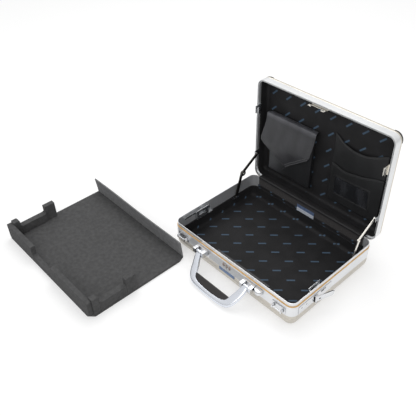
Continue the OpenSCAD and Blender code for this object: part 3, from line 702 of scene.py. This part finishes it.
seal = closed_loft("seal_bead", [round_the_case(inset, z) for inset, z in BEAD_SECTION])
paint(seal, amber)
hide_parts("gasket")
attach(seal, "base")


# Cloth over the hinge, from the strip on the base's rear wall to the lid's lining

COVER_HALF = 200.0
COVER_T = 0.7
COVER_COLUMNS = 100
COVER_PUCKER = 0.35
COVER_LINE = [(164.75, 82.0), (164.7, 85.5), (164.9, 87.6), (166.2, 88.9), (168.6, 89.5), (172, 89.7),
              (176, 89.6), (180, 89.3), (184, 88.9), (187.5, 88.2)]


def hinge_cover():
    line = smooth_line([Vector((0, y, z)) for y, z in COVER_LINE], 3)
    rows = []
    for i, p in enumerate(line):
        t = i / (len(line) - 1)
        row = []
        for x in spread(-COVER_HALF, COVER_HALF, COVER_COLUMNS):
            pucker = COVER_PUCKER * noise.noise(Vector((x * 0.06, t * 1.5, 7.0))) * wave(t)
            row.append(mm(x, p.y, p.z + pucker))
        rows.append(row)
    return thick_sheet("hinge_cover", rows, COVER_T)


cover = hinge_cover()
paint(cover, cover_cloth)
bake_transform(cover)


# Lining cloth on the rear of the base frame, from the piped edge of the lining up to the strip

REAR_CLOTH_HALF = 204
REAR_CLOTH_T = 0.6
REAR_CLOTH_COLUMNS = 80
REAR_CLOTH_RIPPLE = 0.12
REAR_CLOTH_LINE = [(165.75, 44.6), (165.6, 46.5), (165.55, 50), (165.55, 54), (165.6, 56.2), (165.75, 56.9)]


def rear_cloth():
    columns = spread(-REAR_CLOTH_HALF, REAR_CLOTH_HALF, REAR_CLOTH_COLUMNS)
    rows = [[mm(x, y - REAR_CLOTH_RIPPLE * math.sin(k * 0.9 + z), z) for k, x in enumerate(columns)]
            for y, z in REAR_CLOTH_LINE]
    return thick_sheet("rear_wall_cloth", rows, REAR_CLOTH_T)


rear = rear_cloth()
paint(rear, lining)
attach(rear, "base")


# Hasp: a stamped plate on the lid's front wall. Its middle is pressed inward, its two hooked legs are not.

LID_AXIS_Y, LID_AXIS_Z = 172.6, 79.4
HASP_HALF, HASP_LEG, HASP_HOOK, HASP_T = 27.5, 4.0, 7.0, 1.5
HASP_EDGE = 0.3
HASP_PLATE = [(-164.35, 89.3), (-164.35, 87.6), (-163.6, 86.2), (-161.6, 84.4), (-160.7, 82.6), (-160.5, 80),
              (-160.5, 77.4)]
HASP_ARM = [(-160.5, 78.5), (-160.6, 76.6), (-161.6, 75), (-163.4, 73.6), (-164.25, 72), (-164.35, 70),
            (-164.35, 64)]
HASP_HOOK_LINE = [(-164.35, 67), (-164.35, 64)]


def in_open_lid(x, y, z):
    """A point of the closed lid, where it is when the lid stands open."""
    return mm(x, LID_AXIS_Y + z - LID_AXIS_Z, LID_AXIS_Y + LID_AXIS_Z - y)


def bent_plate(line, x0, x1, thick):
    rings = []
    for i, (y, z) in enumerate(line):
        y0, z0 = line[max(i - 1, 0)]
        y1, z1 = line[min(i + 1, len(line) - 1)]
        size = math.hypot(y1 - y0, z1 - z0)
        ny, nz = -(z1 - z0) / size * thick / 2, (y1 - y0) / size * thick / 2
        rings.append([in_open_lid(x0, y + ny, z + nz), in_open_lid(x1, y + ny, z + nz),
                      in_open_lid(x1, y - ny, z - nz), in_open_lid(x0, y - ny, z - nz)])
    return loft(rings)


def hasp_body():
    parts = [bent_plate(HASP_PLATE, FRONT_X - HASP_HALF, FRONT_X + HASP_HALF, HASP_T)]
    for side in (-1, 1):
        outer = FRONT_X + side * HASP_HALF
        for line, width in ((HASP_ARM, HASP_LEG), (HASP_HOOK_LINE, HASP_LEG + HASP_HOOK)):
            inner = outer - side * width
            parts.append(bent_plate(line, min(inner, outer), max(inner, outer), HASP_T))
    obj = new_skin("lid_hasp_plate", *merged(parts), smooth=False)
    bevel(obj, HASP_EDGE, 2, 50)
    return settle(obj)


hasp = hasp_body()
paint(hasp, pale_steel)
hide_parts("lid_hasp")
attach(hasp, "lid")


# Knob on the left stay's elbow: a dark washer with a bright domed rivet

ELBOW_X, ELBOW_Y, ELBOW_Z = -217.6, 105.0, 126.0
ELBOW_SIDES = 28
WASHER_PROFILE = [(0, 4), (0, 8.4), (0.8, 9.4), (5.2, 9.4), (6.4, 8.2), (6.4, 4)]
RIVET_PROFILE = [(6.0, 4.2), (7.0, 4.0), (7.7, 3.1), (8.1, 1.7), (8.3, 0.2)]


def on_elbow(profile):
    """A body turned about the elbow's pin: profile holds (distance along x, radius)."""
    return loft([[mm(ELBOW_X + along, ELBOW_Y + r * c, ELBOW_Z + r * s) for c, s in circle(ELBOW_SIDES)]
                 for along, r in profile])


washer = new_skin("stay_elbow_washer", *on_elbow(WASHER_PROFILE))
rivet = new_skin("stay_elbow_rivet", *on_elbow(RIVET_PROFILE))
for piece, finish in ((washer, dark_steel), (rivet, pale_steel)):
    paint(piece, finish)
    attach(piece, "left_lower_link")


# The left stay's links look heavier than their strips, as folded sheet does

LINK_SWELL = 0.9
for name in ("stay_lower_left", "stay_upper_left"):
    link = nodes[name]
    add_modifier(link, "WELD", merge_threshold=SAME_PLACE * MM)
    add_modifier(link, "DISPLACE", strength=LINK_SWELL * MM, mid_level=0)


# Organizer pouch: a lofted bag whose front sags, with folded gussets at its sides

POUCH_X = (-187.0, -25.0)
POUCH_Z = (118.0, 316.0)
POUCH_ROUND = 9.0
POUCH_GAP = 2.5
POUCH_SAG = 3.2
POUCH_SAG_FROM, POUCH_SAG_RUN = 0.12, 0.75
POUCH_END_DEPTH = 0.45
POUCH_END_INSET = 2.5
POUCH_GUSSET = 3.5
POUCH_CORNER = 4.0
POUCH_RIPPLE = 0.5
POUCH_COLUMNS = 26
POUCH_ROWS = 34
# Extra rows near its foot and its top, by their distance from the end
POUCH_END_ROWS = [0, 0.8, 2.2, 4.5, 7.5]
# Folded gusset: share of its fold inward, and of the pouch's depth
GUSSET = [(0, 0), (0.6, 0.25), (1, 0.5), (0.5, 0.72)]
QUARTER = [math.radians(90 * k / 4) for k in range(5)]


def pouch_ring(z):
    lo, hi = POUCH_X
    t = (z - POUCH_Z[0]) / (POUCH_Z[1] - POUCH_Z[0])
    rounding = quarter_round(min(z - POUCH_Z[0], POUCH_Z[1] - z) / POUCH_ROUND)
    depth = (ROOF_Y - POUCH_FRONT_Y - POUCH_GAP) * (POUCH_END_DEPTH + (1 - POUCH_END_DEPTH) * rounding)
    inset = POUCH_END_INSET * (1 - rounding)
    sag = POUCH_SAG * wave(POUCH_SAG_FROM + POUCH_SAG_RUN * (1 - t)) * rounding
    edge_y = ROOF_Y - depth
    left, right = lo + inset, hi - inset
    fold = POUCH_GUSSET * rounding
    ring = [(left + fold * inward, ROOF_Y - depth * down) for inward, down in GUSSET]
    corner = [(POUCH_CORNER * (1 - math.cos(a)), POUCH_CORNER * (1 - math.sin(a))) for a in QUARTER]
    ring += [(left + dx, edge_y + dy) for dx, dy in corner]
    for k in range(1, POUCH_COLUMNS):
        share = k / POUCH_COLUMNS
        x = left + POUCH_CORNER + (right - left - 2 * POUCH_CORNER) * share
        ripple = POUCH_RIPPLE * noise.noise(Vector((x * 0.03, z * 0.018, 4.0)))
        ring.append((x, edge_y - sag * wave(share) ** 0.6 - ripple * wave(share)))
    ring += [(right - dx, edge_y + dy) for dx, dy in reversed(corner)]
    ring += [(right - fold * inward, ROOF_Y - depth * down) for inward, down in reversed(GUSSET)]
    return [mm(x, y, z) for x, y in ring]


def pouch_body():
    lo, hi = POUCH_Z
    heights = [lo + d for d in POUCH_END_ROWS] + spread(lo + POUCH_ROUND, hi - POUCH_ROUND, POUCH_ROWS)
    heights += [hi - d for d in reversed(POUCH_END_ROWS)]
    obj = new_skin("pouch_body", *loft([pouch_ring(z) for z in heights]))
    add_modifier(obj, "SUBSURF", levels=1, render_levels=1)
    return settle(obj)


# Its flap comes over the top, lies on the front and lifts off it toward its two lower corners. The tables run
# downward: (height, front face) and (height, x of the edge). FLAP_OVER is its way over the pouch's top.
FLAP_SIDE = [(318, 190.6), (306, 190.2), (292, 188.6), (272, 184.6), (252, 179.6), (238, 176.6), (224, 176.4),
             (205, 179.2), (184, 183.2), (162, 187.4)]
FLAP_LEFT = [(318, -199), (292, -200.6), (264, -203.2), (240, -206), (230, -206.2), (220, -196), (202, -171),
             (184, -145.5), (172, -128), (165.5, -118.5), (162, -110)]
FLAP_RIGHT = [(318, -14), (292, -15.8), (264, -17.8), (243, -19.4), (233, -25), (220, -42), (202, -64),
              (184, -87), (172, -101.5), (165.5, -108.5), (162, -110)]
FLAP_OVER = [(ROOF_Y - 1, 317.0), (206, 318.6), (200, 319.4), (195, 319.6), (192.2, 319.2), (190.9, 318.2)]
FLAP_TUCK = 6.0
FLAP_COLUMNS = 40
FLAP_TOP, FLAP_TIP = 316.0, 162.2
FLAP_FINE_BELOW = 175
FLAP_STEP, FLAP_FINE_STEP = 2.4, 1.2
FLAP_LIFT = 1.6
FLAP_RIPPLE = 0.8
FLAP_T = 1.8

OUTLINE_STEP = 1.5
STITCH_LONG, STITCH_GAP, STITCH_R, STITCH_PROUD = 2.7, 1.3, 0.42, 0.15
# Share of the way along a stitch, and how deep it sits there
STITCH_ARC = [(0, 0.5), (0.2, 0), (0.8, 0), (1, 0.5)]
SEAM_INWARD = 5.8
SEAM_Z = (304, 171)
WELT_INWARD = (2.6, 8.6)
WELT_Z = (236, 166)
WELT_PROUD, WELT_R = 0.2, 0.95


def looked_up(table, z):
    """Value at height z in a table of (height, value) that runs downward."""
    for (z0, v0), (z1, v1) in zip(table, table[1:]):
        if z >= z1:
            return v0 + (v1 - v0) * max(0.0, (z0 - z) / (z0 - z1))
    return table[-1][1]


def blurred(table, z, reach):
    return sum(looked_up(table, z + d) for d in (-reach, -reach / 2, 0, reach / 2, reach)) / 5


def flap_y(x, z):
    """Front face of the flap."""
    left, right = looked_up(FLAP_LEFT, z), looked_up(FLAP_RIGHT, z)
    s = (x - left) / max(right - left, 1e-6)
    lift = FLAP_LIFT * (2 * s - 1) ** 4 * smoothstep((300 - z) / 60)
    ripple = FLAP_RIPPLE * noise.noise(Vector((x * 0.022, z * 0.02, 9.0)))
    return blurred(FLAP_SIDE, z, 5.0) - lift + ripple * smoothstep((312 - z) / 30)


def pouch_flap():
    rows = []
    for y, z in FLAP_OVER:
        inset = FLAP_TUCK * smoothstep((y - FLAP_OVER[-1][0]) / 20)
        left, right = FLAP_LEFT[0][1] + inset, FLAP_RIGHT[0][1] - inset
        rows.append([mm(x, y, z) for x in spread(left, right, FLAP_COLUMNS)])
    z = FLAP_TOP
    while z > FLAP_TIP:
        left, right = (blurred(table, z, FLAP_FINE_STEP) for table in (FLAP_LEFT, FLAP_RIGHT))
        rows.append([mm(x, flap_y(x, z), z) for x in spread(left, right, FLAP_COLUMNS)])
        z -= FLAP_STEP if z > FLAP_FINE_BELOW else FLAP_FINE_STEP
    return open_loft("pouch_flap_leather", rows)


def flap_outline_inset(table, inward, z_from, z_to):
    """Points of the flap's edge, moved inward by that much, from one height down to another."""
    sign = 1 if table is FLAP_LEFT else -1
    line = []
    z = z_from
    while z >= z_to:
        x = blurred(table, z, OUTLINE_STEP)
        slope = (blurred(table, z - 1, OUTLINE_STEP) - blurred(table, z + 1, OUTLINE_STEP)) / -2
        nx, nz = 1 / math.hypot(1, slope), -slope / math.hypot(1, slope)
        line.append(Vector((x + sign * inward * nx, 0, z + sign * inward * nz)))
        z -= OUTLINE_STEP
    return line


def stitches(line, surface):
    """Short thread bars along a line of (x, -, z), lying on surface(x, z)."""
    parts = []
    pitch = STITCH_LONG + STITCH_GAP
    marks = evenly(line, pitch)
    for a, b in zip(marks, marks[1:]):
        end = a.lerp(b, STITCH_LONG / pitch)
        points = []
        for t, dip in STITCH_ARC:
            p = a.lerp(end, t)
            points.append(mm(p.x, surface(p.x, p.z) - STITCH_PROUD + dip, p.z))
        parts.append(tube(points, STITCH_R * MM, 6))
    return parts


def flap_seams():
    parts = []
    for table in (FLAP_LEFT, FLAP_RIGHT):
        line = flap_outline_inset(table, SEAM_INWARD, *SEAM_Z)
        parts += stitches(line, lambda x, z: flap_y(x, z) - FLAP_T / 2)
    return new_object("pouch_flap_stitches", *merged(parts))


def flap_welts():
    """Two raised welts along the flap's sloping right edge, in a brighter leather that paints their
    highlight.
    """
    parts = []
    for inward in WELT_INWARD:
        line = flap_outline_inset(FLAP_RIGHT, inward, *WELT_Z)
        on_flap = [mm(p.x, flap_y(p.x, p.z) - FLAP_T / 2 - WELT_PROUD, p.z) for p in line]
        parts.append(tube(on_flap, WELT_R * MM, 10))
    return new_object("pouch_flap_welts", *merged(parts))


# The photo has the pouch and its flap this far from their solids
POUCH_SHIFT = Matrix.Translation(mm(-3, 0, -4.5))
pouch = pouch_body()
pouch.data.transform(POUCH_SHIFT)
paint(pouch, pouch_leather)
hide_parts("organizer_pouch")
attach(pouch, "lid")

flap = pouch_flap()
add_modifier(flap, "SOLIDIFY", thickness=FLAP_T * MM, offset=0)
add_modifier(flap, "SUBSURF", levels=1, render_levels=1)
settle(flap)
flap.data.transform(POUCH_SHIFT)
paint(flap, flap_leather)
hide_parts("pouch_flap")
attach(flap, "lid")

thread_shade = Shade("thread_dark", (0.06, 0.062, 0.066), 0.6)
thread_shade.bump(thread_shade.noise(3000.0, 2.0, (1, 1, 0.3)), 0.0001, 0.8)
thread_shade.vary(thread_shade.noise(900.0), 0.8, 1.2)
thread = thread_shade.material

seams, welts = flap_seams(), flap_welts()
for piece, finish in ((seams, thread), (welts, welt_leather_painted_highlight)):
    piece.data.transform(POUCH_SHIFT)
    paint(piece, finish)
    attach(piece, "lid")


# Two flat pockets on the right: their upper edges hang in a curve and gape a little

POCKET_X = (34.0, 203.0)
POCKET_FOOT = 114.5
UPPER_EDGE = [(34, 337), (40, 335), (68, 318), (104, 311), (137, 312), (168, 322), (194, 336), (203, 336)]
LOWER_EDGE = [(34, 244), (44, 241), (82, 233), (134, 242.5), (183, 257), (203, 261)]


def edge_height(table, x):
    for (x0, z0), (x1, z1) in zip(table, table[1:]):
        if x <= x1:
            t = smoothstep((x - x0) / (x1 - x0)) * 0.5 + (x - x0) / (x1 - x0) * 0.5
            return z0 + (z1 - z0) * t
    return table[-1][1]


def eased_height(table, x):
    return sum(edge_height(table, x + d) for d in (-9, -6, -3, 0, 3, 6, 9)) / 7


GAPE_FROM = 0.5
POCKET_PUFF = 0.5
POCKET_RIPPLE = 0.35
POCKET_T = 1.3
POCKET_COLUMNS, POCKET_ROWS = 56, 40
HEM_R, HEM_PROUD = 0.9, 0.1
HEM_SEAM_DOWN = 5.0
HEM_SEAM_END = 3
HEM_SEAM_PROUD = 0.7
MOUTH_T = 0.5
MOUTH_ROWS = 8
MOUTH_DEEP = 26
MOUTH_END = 1
MOUTH_DROP = 1.25


def pocket_across(x):
    lo, hi = POCKET_X
    return wave((x - lo) / (hi - lo)) ** 0.45


def pocket_y(x, z, top, back, gape):
    """Front face of a pocket: flat on the roof at its sides and foot, standing off at its upper edge."""
    across = pocket_across(x)
    share = (z - POCKET_FOOT) / max(top - POCKET_FOOT, 1)
    up = smoothstep((share - GAPE_FROM) / (1 - GAPE_FROM))
    puff = wave(share) * POCKET_PUFF
    ripple = POCKET_RIPPLE * noise.noise(Vector((x * 0.035, z * 0.03, back)))
    return back - across * (gape * up + puff) + ripple * across


def pocket_columns(end=0):
    """Places across a pocket, from one side to the other, leaving out that much at both ends."""
    return spread(POCKET_X[0] + end, POCKET_X[1] - end, POCKET_COLUMNS)


def pocket_cloth(name, table, back, gape):
    """A pocket's cloth, the binding of its upper edge and the stitches below it."""
    tops = [(x, eased_height(table, x)) for x in pocket_columns()]
    grid = []
    for r in range(POCKET_ROWS + 1):
        heights = [(x, POCKET_FOOT + (top - POCKET_FOOT) * r / POCKET_ROWS, top) for x, top in tops]
        grid.append([mm(x, pocket_y(x, z, top, back, gape), z) for x, z, top in heights])
    obj = thick_sheet(name, grid, POCKET_T)
    edge = [mm(x, pocket_y(x, top, top, back, gape) - HEM_PROUD, top) for x, top in tops]
    binding = new_object(name + "_binding", *tube(edge, HEM_R * MM, 10))
    line = [Vector((x, 0, eased_height(table, x) - HEM_SEAM_DOWN)) for x in pocket_columns(HEM_SEAM_END)]
    sewn = stitches(line, lambda x, z: pocket_y(x, z, eased_height(table, x), back, gape) - HEM_SEAM_PROUD)
    return obj, binding, new_object(name + "_stitches", *merged(sewn))


def pocket_mouth(name, table, y, gape, shown):
    """Painted shade: a black sheet behind a pocket's mouth stands for the shade inside it, and a crescent of
    it shows from above.
    """
    grid = []
    for r in range(MOUTH_ROWS + 1):
        row = []
        for x in pocket_columns(MOUTH_END):
            top = eased_height(table, x) - (MOUTH_DROP * gape - shown) * pocket_across(x)
            row.append(mm(x, y, top - MOUTH_DEEP * (1 - r / MOUTH_ROWS)))
        grid.append(row)
    return thick_sheet(name, grid, MOUTH_T)


UPPER_BACK, LOWER_BACK = 210.4, 208.0
UPPER_GAPE, LOWER_GAPE = 6.5, 3.4
UPPER_MOUTH_Y, LOWER_MOUTH_Y = 211.2, 209.2
UPPER_SHOWN, LOWER_SHOWN = 4.2, 2.6
upper, upper_hem, upper_sewn = pocket_cloth("upper_pocket_cloth", UPPER_EDGE, UPPER_BACK, UPPER_GAPE)
lower, lower_hem, lower_sewn = pocket_cloth("lower_pocket_cloth", LOWER_EDGE, LOWER_BACK, LOWER_GAPE)
for piece, node_name in ((upper, "upper_pocket"), (lower, "lower_pocket")):
    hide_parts(node_name)
upper_mouth = pocket_mouth("upper_pocket_mouth", UPPER_EDGE, UPPER_MOUTH_Y, UPPER_GAPE, UPPER_SHOWN)
lower_mouth = pocket_mouth("lower_pocket_mouth", LOWER_EDGE, LOWER_MOUTH_Y, LOWER_GAPE, LOWER_SHOWN)
for piece in (upper_mouth, lower_mouth):
    paint(piece, pocket_mouth_painted_shade)
for piece in (upper, upper_hem, lower, lower_hem):
    paint(piece, pocket_leather)
for piece in (upper_sewn, lower_sewn):
    paint(piece, thread)
for piece in (upper, upper_hem, upper_sewn, upper_mouth, lower, lower_hem, lower_sewn, lower_mouth):
    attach(piece, "lid")


# Clear card window on the lower pocket: slack film inside a raised leather border

WINDOW = [(54, 145), (169, 146), (164, 206), (52, 202)]
FILM_ROWS, FILM_COLUMNS = 36, 60
FILM_BACK = 0.65
FILM_PROUD = 0.5
BORDER_WIDE = 5.0
BORDER_STEPS = 14
BORDER_MIDDLE = (109, 172)
# Section of the border, from its inner edge to its outer: share of its width, and how far it stands off
BORDER_SECTION = [(0, -0.3), (0, 1.0), (0.2, 1.3), (0.8, 1.2), (1, 0.8), (1, -0.3)]


def window_point(s, t):
    """A place in the window, s across and t up, both from 0 to 1."""
    (x0, z0), (x1, z1), (x2, z2), (x3, z3) = WINDOW
    x = (1 - t) * (x0 + (x1 - x0) * s) + t * (x3 + (x2 - x3) * s)
    z = (1 - t) * (z0 + (z1 - z0) * s) + t * (z3 + (z2 - z3) * s)
    return x, z


def lower_front(x, z):
    return pocket_y(x, z, eased_height(LOWER_EDGE, x), LOWER_BACK, LOWER_GAPE) - FILM_BACK


def window_film():
    rows = []
    for t in spread(0, 1, FILM_ROWS):
        row = []
        for s in spread(0, 1, FILM_COLUMNS):
            x, z = window_point(s, t)
            slack = wave(s) ** 0.5 * wave(t) ** 0.5
            folds = 0.55 * math.sin(26 * s + 2.2 * math.sin(3 * t))
            folds += 0.6 * noise.noise(Vector((s * 5, t * 2.2, 2.0)))
            row.append(mm(x, lower_front(x, z) - FILM_PROUD - slack * (0.7 + 0.6 * folds), z))
        rows.append(row)
    return open_loft("window_film_sheet", rows)


def window_border():
    """A flat band round the window, standing a little proud, with mitred corners."""
    rings = []
    corners = [(0, 0), (1, 0), (1, 1), (0, 1)]
    for (s0, t0), (s1, t1) in zip(corners, corners[1:] + corners[:1]):
        for i in range(BORDER_STEPS):
            s, t = s0 + (s1 - s0) * i / BORDER_STEPS, t0 + (t1 - t0) * i / BORDER_STEPS
            x, z = window_point(s, t)
            out_x = math.copysign(BORDER_WIDE, x - BORDER_MIDDLE[0]) * (abs(s - 0.5) * 2) ** 12
            out_z = math.copysign(BORDER_WIDE, z - BORDER_MIDDLE[1]) * (abs(t - 0.5) * 2) ** 12
            near, far = lower_front(x, z), lower_front(x + out_x, z + out_z)
            rings.append([mm(x + out_x * share, (near if share < 0.5 else far) - proud, z + out_z * share)
                          for share, proud in BORDER_SECTION])
    return closed_loft("window_border", rings)


film_shade = Shade("window_film", (0.022, 0.023, 0.026), 0.12, Coat_Weight=0.6, Coat_Roughness=0.05)
film_shade.rough(film_shade.noise(40.0, 3.0), 0.08, 0.2)
# Painted reflection: long pale streaks in the film's colour.
film_shade.vary(film_shade.ramp(film_shade.noise(34.0, 3.0, (1, 1, 0.28)), 0.42, 0.62), 0.6, 1.5)
film_shade.bump(film_shade.noise(70.0, 2.0, (1, 1, 0.25)), 0.0008, 0.6)

film = window_film()
paint(film, film_shade.material)
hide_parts("id_window")
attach(film, "lid")
border = window_border()
paint(border, pocket_leather)
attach(border, "lid")


# Foam tray beside the case

TRAY_X = (-600.0, -155.0)
TRAY_Y = (-525.0, -196.0)
TRAY_T = 8.0
FRONT_T = 15.0
FRONT_Z = 56.0
NOTCH_X = (-455.0, -345.0)
NOTCH_Z = 22.0
RAIL_Z = 38.0
POST_Z = 62.0
PILLAR_Y = (-403.0, -368.0)
RAIL_Y0 = -490.0
FOAM_EDGE = 1.3
FLOOR_CUT = 16
WIDE, NARROW = 20, 16
TRAY_FLAP_T = 4
TRAY_FLAP_EDGE = 1.2
TRAY_FLAP_ROWS = (TRAY_T, 20, 32, 44, 54, 62)
TRAY_FLAP_COLUMNS = 40
TRAY_FLAP_LEAN = 6.0
TRAY_FLAP_BOW = 0.8


def foam_piece(name, parts):
    obj = new_skin(name, *merged(parts), smooth=False)
    bevel(obj, FOAM_EDGE, 3, 25, harden_normals=True)
    settle(obj)
    paint(obj, charcoal_foam)
    return obj


def tray_floor():
    (x0, x1), (y0, y1) = TRAY_X, TRAY_Y
    outline = [(x0 + 3, y0), (x1 - FLOOR_CUT, y0), (x1, y0 + FLOOR_CUT), (x1, y1 - 20), (x1 - 8, y1),
               (x0, y1), (x0, y0 + 3)]
    return foam_piece("tray_floor_foam", [prism(outline, "z", 0, TRAY_T)])


def tray_rear_flap():
    """A thin wall that leans in over the tray, bowed a little along its length."""
    x0, x1 = TRAY_X[0], TRAY_X[1] - 8
    rows = []
    for z in TRAY_FLAP_ROWS:
        up = (z - TRAY_T) / (TRAY_FLAP_ROWS[-1] - TRAY_T)
        row = []
        for t in spread(0, 1, TRAY_FLAP_COLUMNS):
            bow = TRAY_FLAP_BOW * math.sin(2.6 * math.pi * t) * up
            y = TRAY_Y[1] - TRAY_FLAP_T / 2 - TRAY_FLAP_LEAN * up ** 1.2 + bow
            row.append(mm(x0 + (x1 - x0) * t, y, z))
        rows.append(row)
    obj = thick_sheet("tray_flap_foam", rows, TRAY_FLAP_T)
    bevel(obj, TRAY_FLAP_EDGE, 3, 40)
    settle(obj)
    paint(obj, flap_foam_painted_light)
    return obj


def tray_front():
    (x0, x1), y0 = TRAY_X, TRAY_Y[0]
    n0, n1 = NOTCH_X
    outline = [(x0, TRAY_T), (x1 - 6, TRAY_T), (x1 - 6, FRONT_Z), (n1, FRONT_Z), (n1 - 4, NOTCH_Z + 6),
               (n1 - 10, NOTCH_Z), (n0 + 4, NOTCH_Z), (n0, NOTCH_Z + 4), (n0, FRONT_Z), (x0, FRONT_Z)]
    return foam_piece("tray_front_foam", [prism(outline, "y", y0, y0 + FRONT_T)])


def tray_sides():
    """On both sides a front post, a rail behind it and a pillar at the rail's end."""
    (x0, x1), (p0, p1), post_y = TRAY_X, PILLAR_Y, TRAY_Y[0] + FRONT_T
    rail = [(RAIL_Y0, TRAY_T), (p0, TRAY_T), (p0, RAIL_Z + 3), (p0 - 5, RAIL_Z), (RAIL_Y0 + 7, RAIL_Z),
            (RAIL_Y0, RAIL_Z + 5)]
    pillar = [(p0, TRAY_T), (p1, TRAY_T), (p1, POST_Z), (p0, POST_Z)]
    post = [(post_y, TRAY_T), (RAIL_Y0, TRAY_T), (RAIL_Y0, POST_Z - 3), (RAIL_Y0 - 4, POST_Z),
            (post_y, POST_Z)]
    parts = []
    for wide, narrow in (((x0, x0 + WIDE), (x0, x0 + NARROW)), ((x1 - WIDE, x1), (x1 - NARROW, x1))):
        parts += [prism(rail, "x", *wide), prism(pillar, "x", *narrow), prism(post, "x", *wide)]
    return foam_piece("tray_side_foam", parts)


tray_floor_piece = tray_floor()
tray_flap_piece = tray_rear_flap()
tray_front_piece = tray_front()
tray_side_piece = tray_sides()
for piece, replaced in ((tray_floor_piece, ["tray_base"]), (tray_flap_piece, ["tray_flap"]),
                        (tray_front_piece, ["tray_front_wall"]),
                        (tray_side_piece, ["tray_rails", "tray_pillars"])):
    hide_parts(*replaced)
    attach(piece, "tray")


# Floor, light and camera

WHITE = (1, 1, 1, 1)
FLOOR_GREY = (0.60, 0.60, 0.60, 1)
FLOOR_GLOW = 0.46
SHINE_LIFT = 0.28


def floor_material():
    """White floor that takes soft shadows. What the camera and the metal see of it is lifted to white."""
    material = bpy.data.materials.new("studio_floor")
    floor_nodes = Nodes(material)
    floor_nodes.tree.nodes.clear()
    rays = floor_nodes.add("ShaderNodeLightPath").outputs
    seen = floor_nodes.math("MAXIMUM", rays["Is Camera Ray"], rays["Is Glossy Ray"])
    diffuse = floor_nodes.add("ShaderNodeBsdfDiffuse", {"Color": FLOOR_GREY})
    strength = floor_nodes.math("MULTIPLY", seen, FLOOR_GLOW)
    glow = floor_nodes.add("ShaderNodeEmission", {"Color": WHITE, "Strength": strength})
    both = floor_nodes.add("ShaderNodeAddShader", {0: diffuse.outputs[0], 1: glow.outputs[0]})
    floor_nodes.add("ShaderNodeOutputMaterial", {"Surface": both.outputs[0]})
    return material


FLOOR_HALF = 6.0
FLOOR_DROP = 0.0002
floor_corners = [(FLOOR_HALF * x, FLOOR_HALF * y, 0) for x, y in ((-1, -1), (1, -1), (1, 1), (-1, 1))]
floor = new_object("studio_floor", floor_corners, [(0, 1, 2, 3)])
floor.location.z = -FLOOR_DROP
paint(floor, floor_material())


def set_world():
    """A white room for the camera; for the object, a soft sky that is brighter overhead than at the sides."""
    world = bpy.data.worlds.new("studio")
    bpy.context.scene.world = world
    sky_nodes = Nodes(world)
    sky_nodes.tree.nodes.clear()
    direction = sky_nodes.add("ShaderNodeTexCoord").outputs["Generated"]
    height = sky_nodes.add("ShaderNodeSeparateXYZ", {0: direction}).outputs[2]
    sky = sky_nodes.ramp(height, -0.1, 0.9, 0.42, 0.8)
    rays = sky_nodes.add("ShaderNodeLightPath").outputs
    shine = sky_nodes.math("MULTIPLY_ADD", rays["Is Glossy Ray"], SHINE_LIFT, 1.0)
    strength = sky_nodes.math("MULTIPLY", sky, shine)
    room = sky_nodes.add("ShaderNodeBackground", {"Color": WHITE, "Strength": strength})
    white = sky_nodes.add("ShaderNodeBackground", {"Color": WHITE, "Strength": 1.0})
    chosen = sky_nodes.add("ShaderNodeMixShader", {0: rays["Is Camera Ray"], 1: room.outputs[0],
                                                   2: white.outputs[0]})
    sky_nodes.add("ShaderNodeOutputWorld", {"Surface": chosen.outputs[0]})


def add_area(name, place, target, size, power):
    light = bpy.data.lights.new(name, "AREA")
    light.shape = "SQUARE"
    light.size = size
    light.energy = power
    obj = bpy.data.objects.new(name, light)
    bpy.context.scene.collection.objects.link(obj)
    obj.location = place
    obj.rotation_euler = (Vector(target) - Vector(place)).to_track_quat("-Z", "Y").to_euler()


LIGHT_TARGET = (-0.1, -0.1, 0.1)
set_world()
add_area("key_softbox", (-0.9, 0.5, 2.4), LIGHT_TARGET, 1.8, 20)
add_area("front_softbox", (1.2, -2.2, 1.6), LIGHT_TARGET, 1.6, 14)

# The camera that was fitted to the photo's straight edges
CAMERA_PLACE = (0.7583127, -0.9085726, 1.1475621)
CAMERA_RIGHT = (0.67718, 0.735405, -0.0246338)
CAMERA_UP = (-0.4563308, 0.4459929, 0.7699692)
CAMERA_AHEAD = (-0.5772257, 0.5101665, -0.6376054)
CAMERA_LENS = 47.72
CAMERA_SENSOR = 36
CAMERA_SHIFT = 0.001

camera_data = bpy.data.cameras.new("camera")
camera_data.lens = CAMERA_LENS
camera_data.sensor_width = CAMERA_SENSOR
camera_data.shift_x = CAMERA_SHIFT
camera = bpy.data.objects.new("camera", camera_data)
bpy.context.scene.collection.objects.link(camera)
turn = Matrix((CAMERA_RIGHT, CAMERA_UP, [-c for c in CAMERA_AHEAD])).transposed()
camera.matrix_world = Matrix.Translation(CAMERA_PLACE) @ turn.to_4x4()
bpy.context.scene.camera = camera
bpy.context.scene.view_settings.view_transform = "Standard"
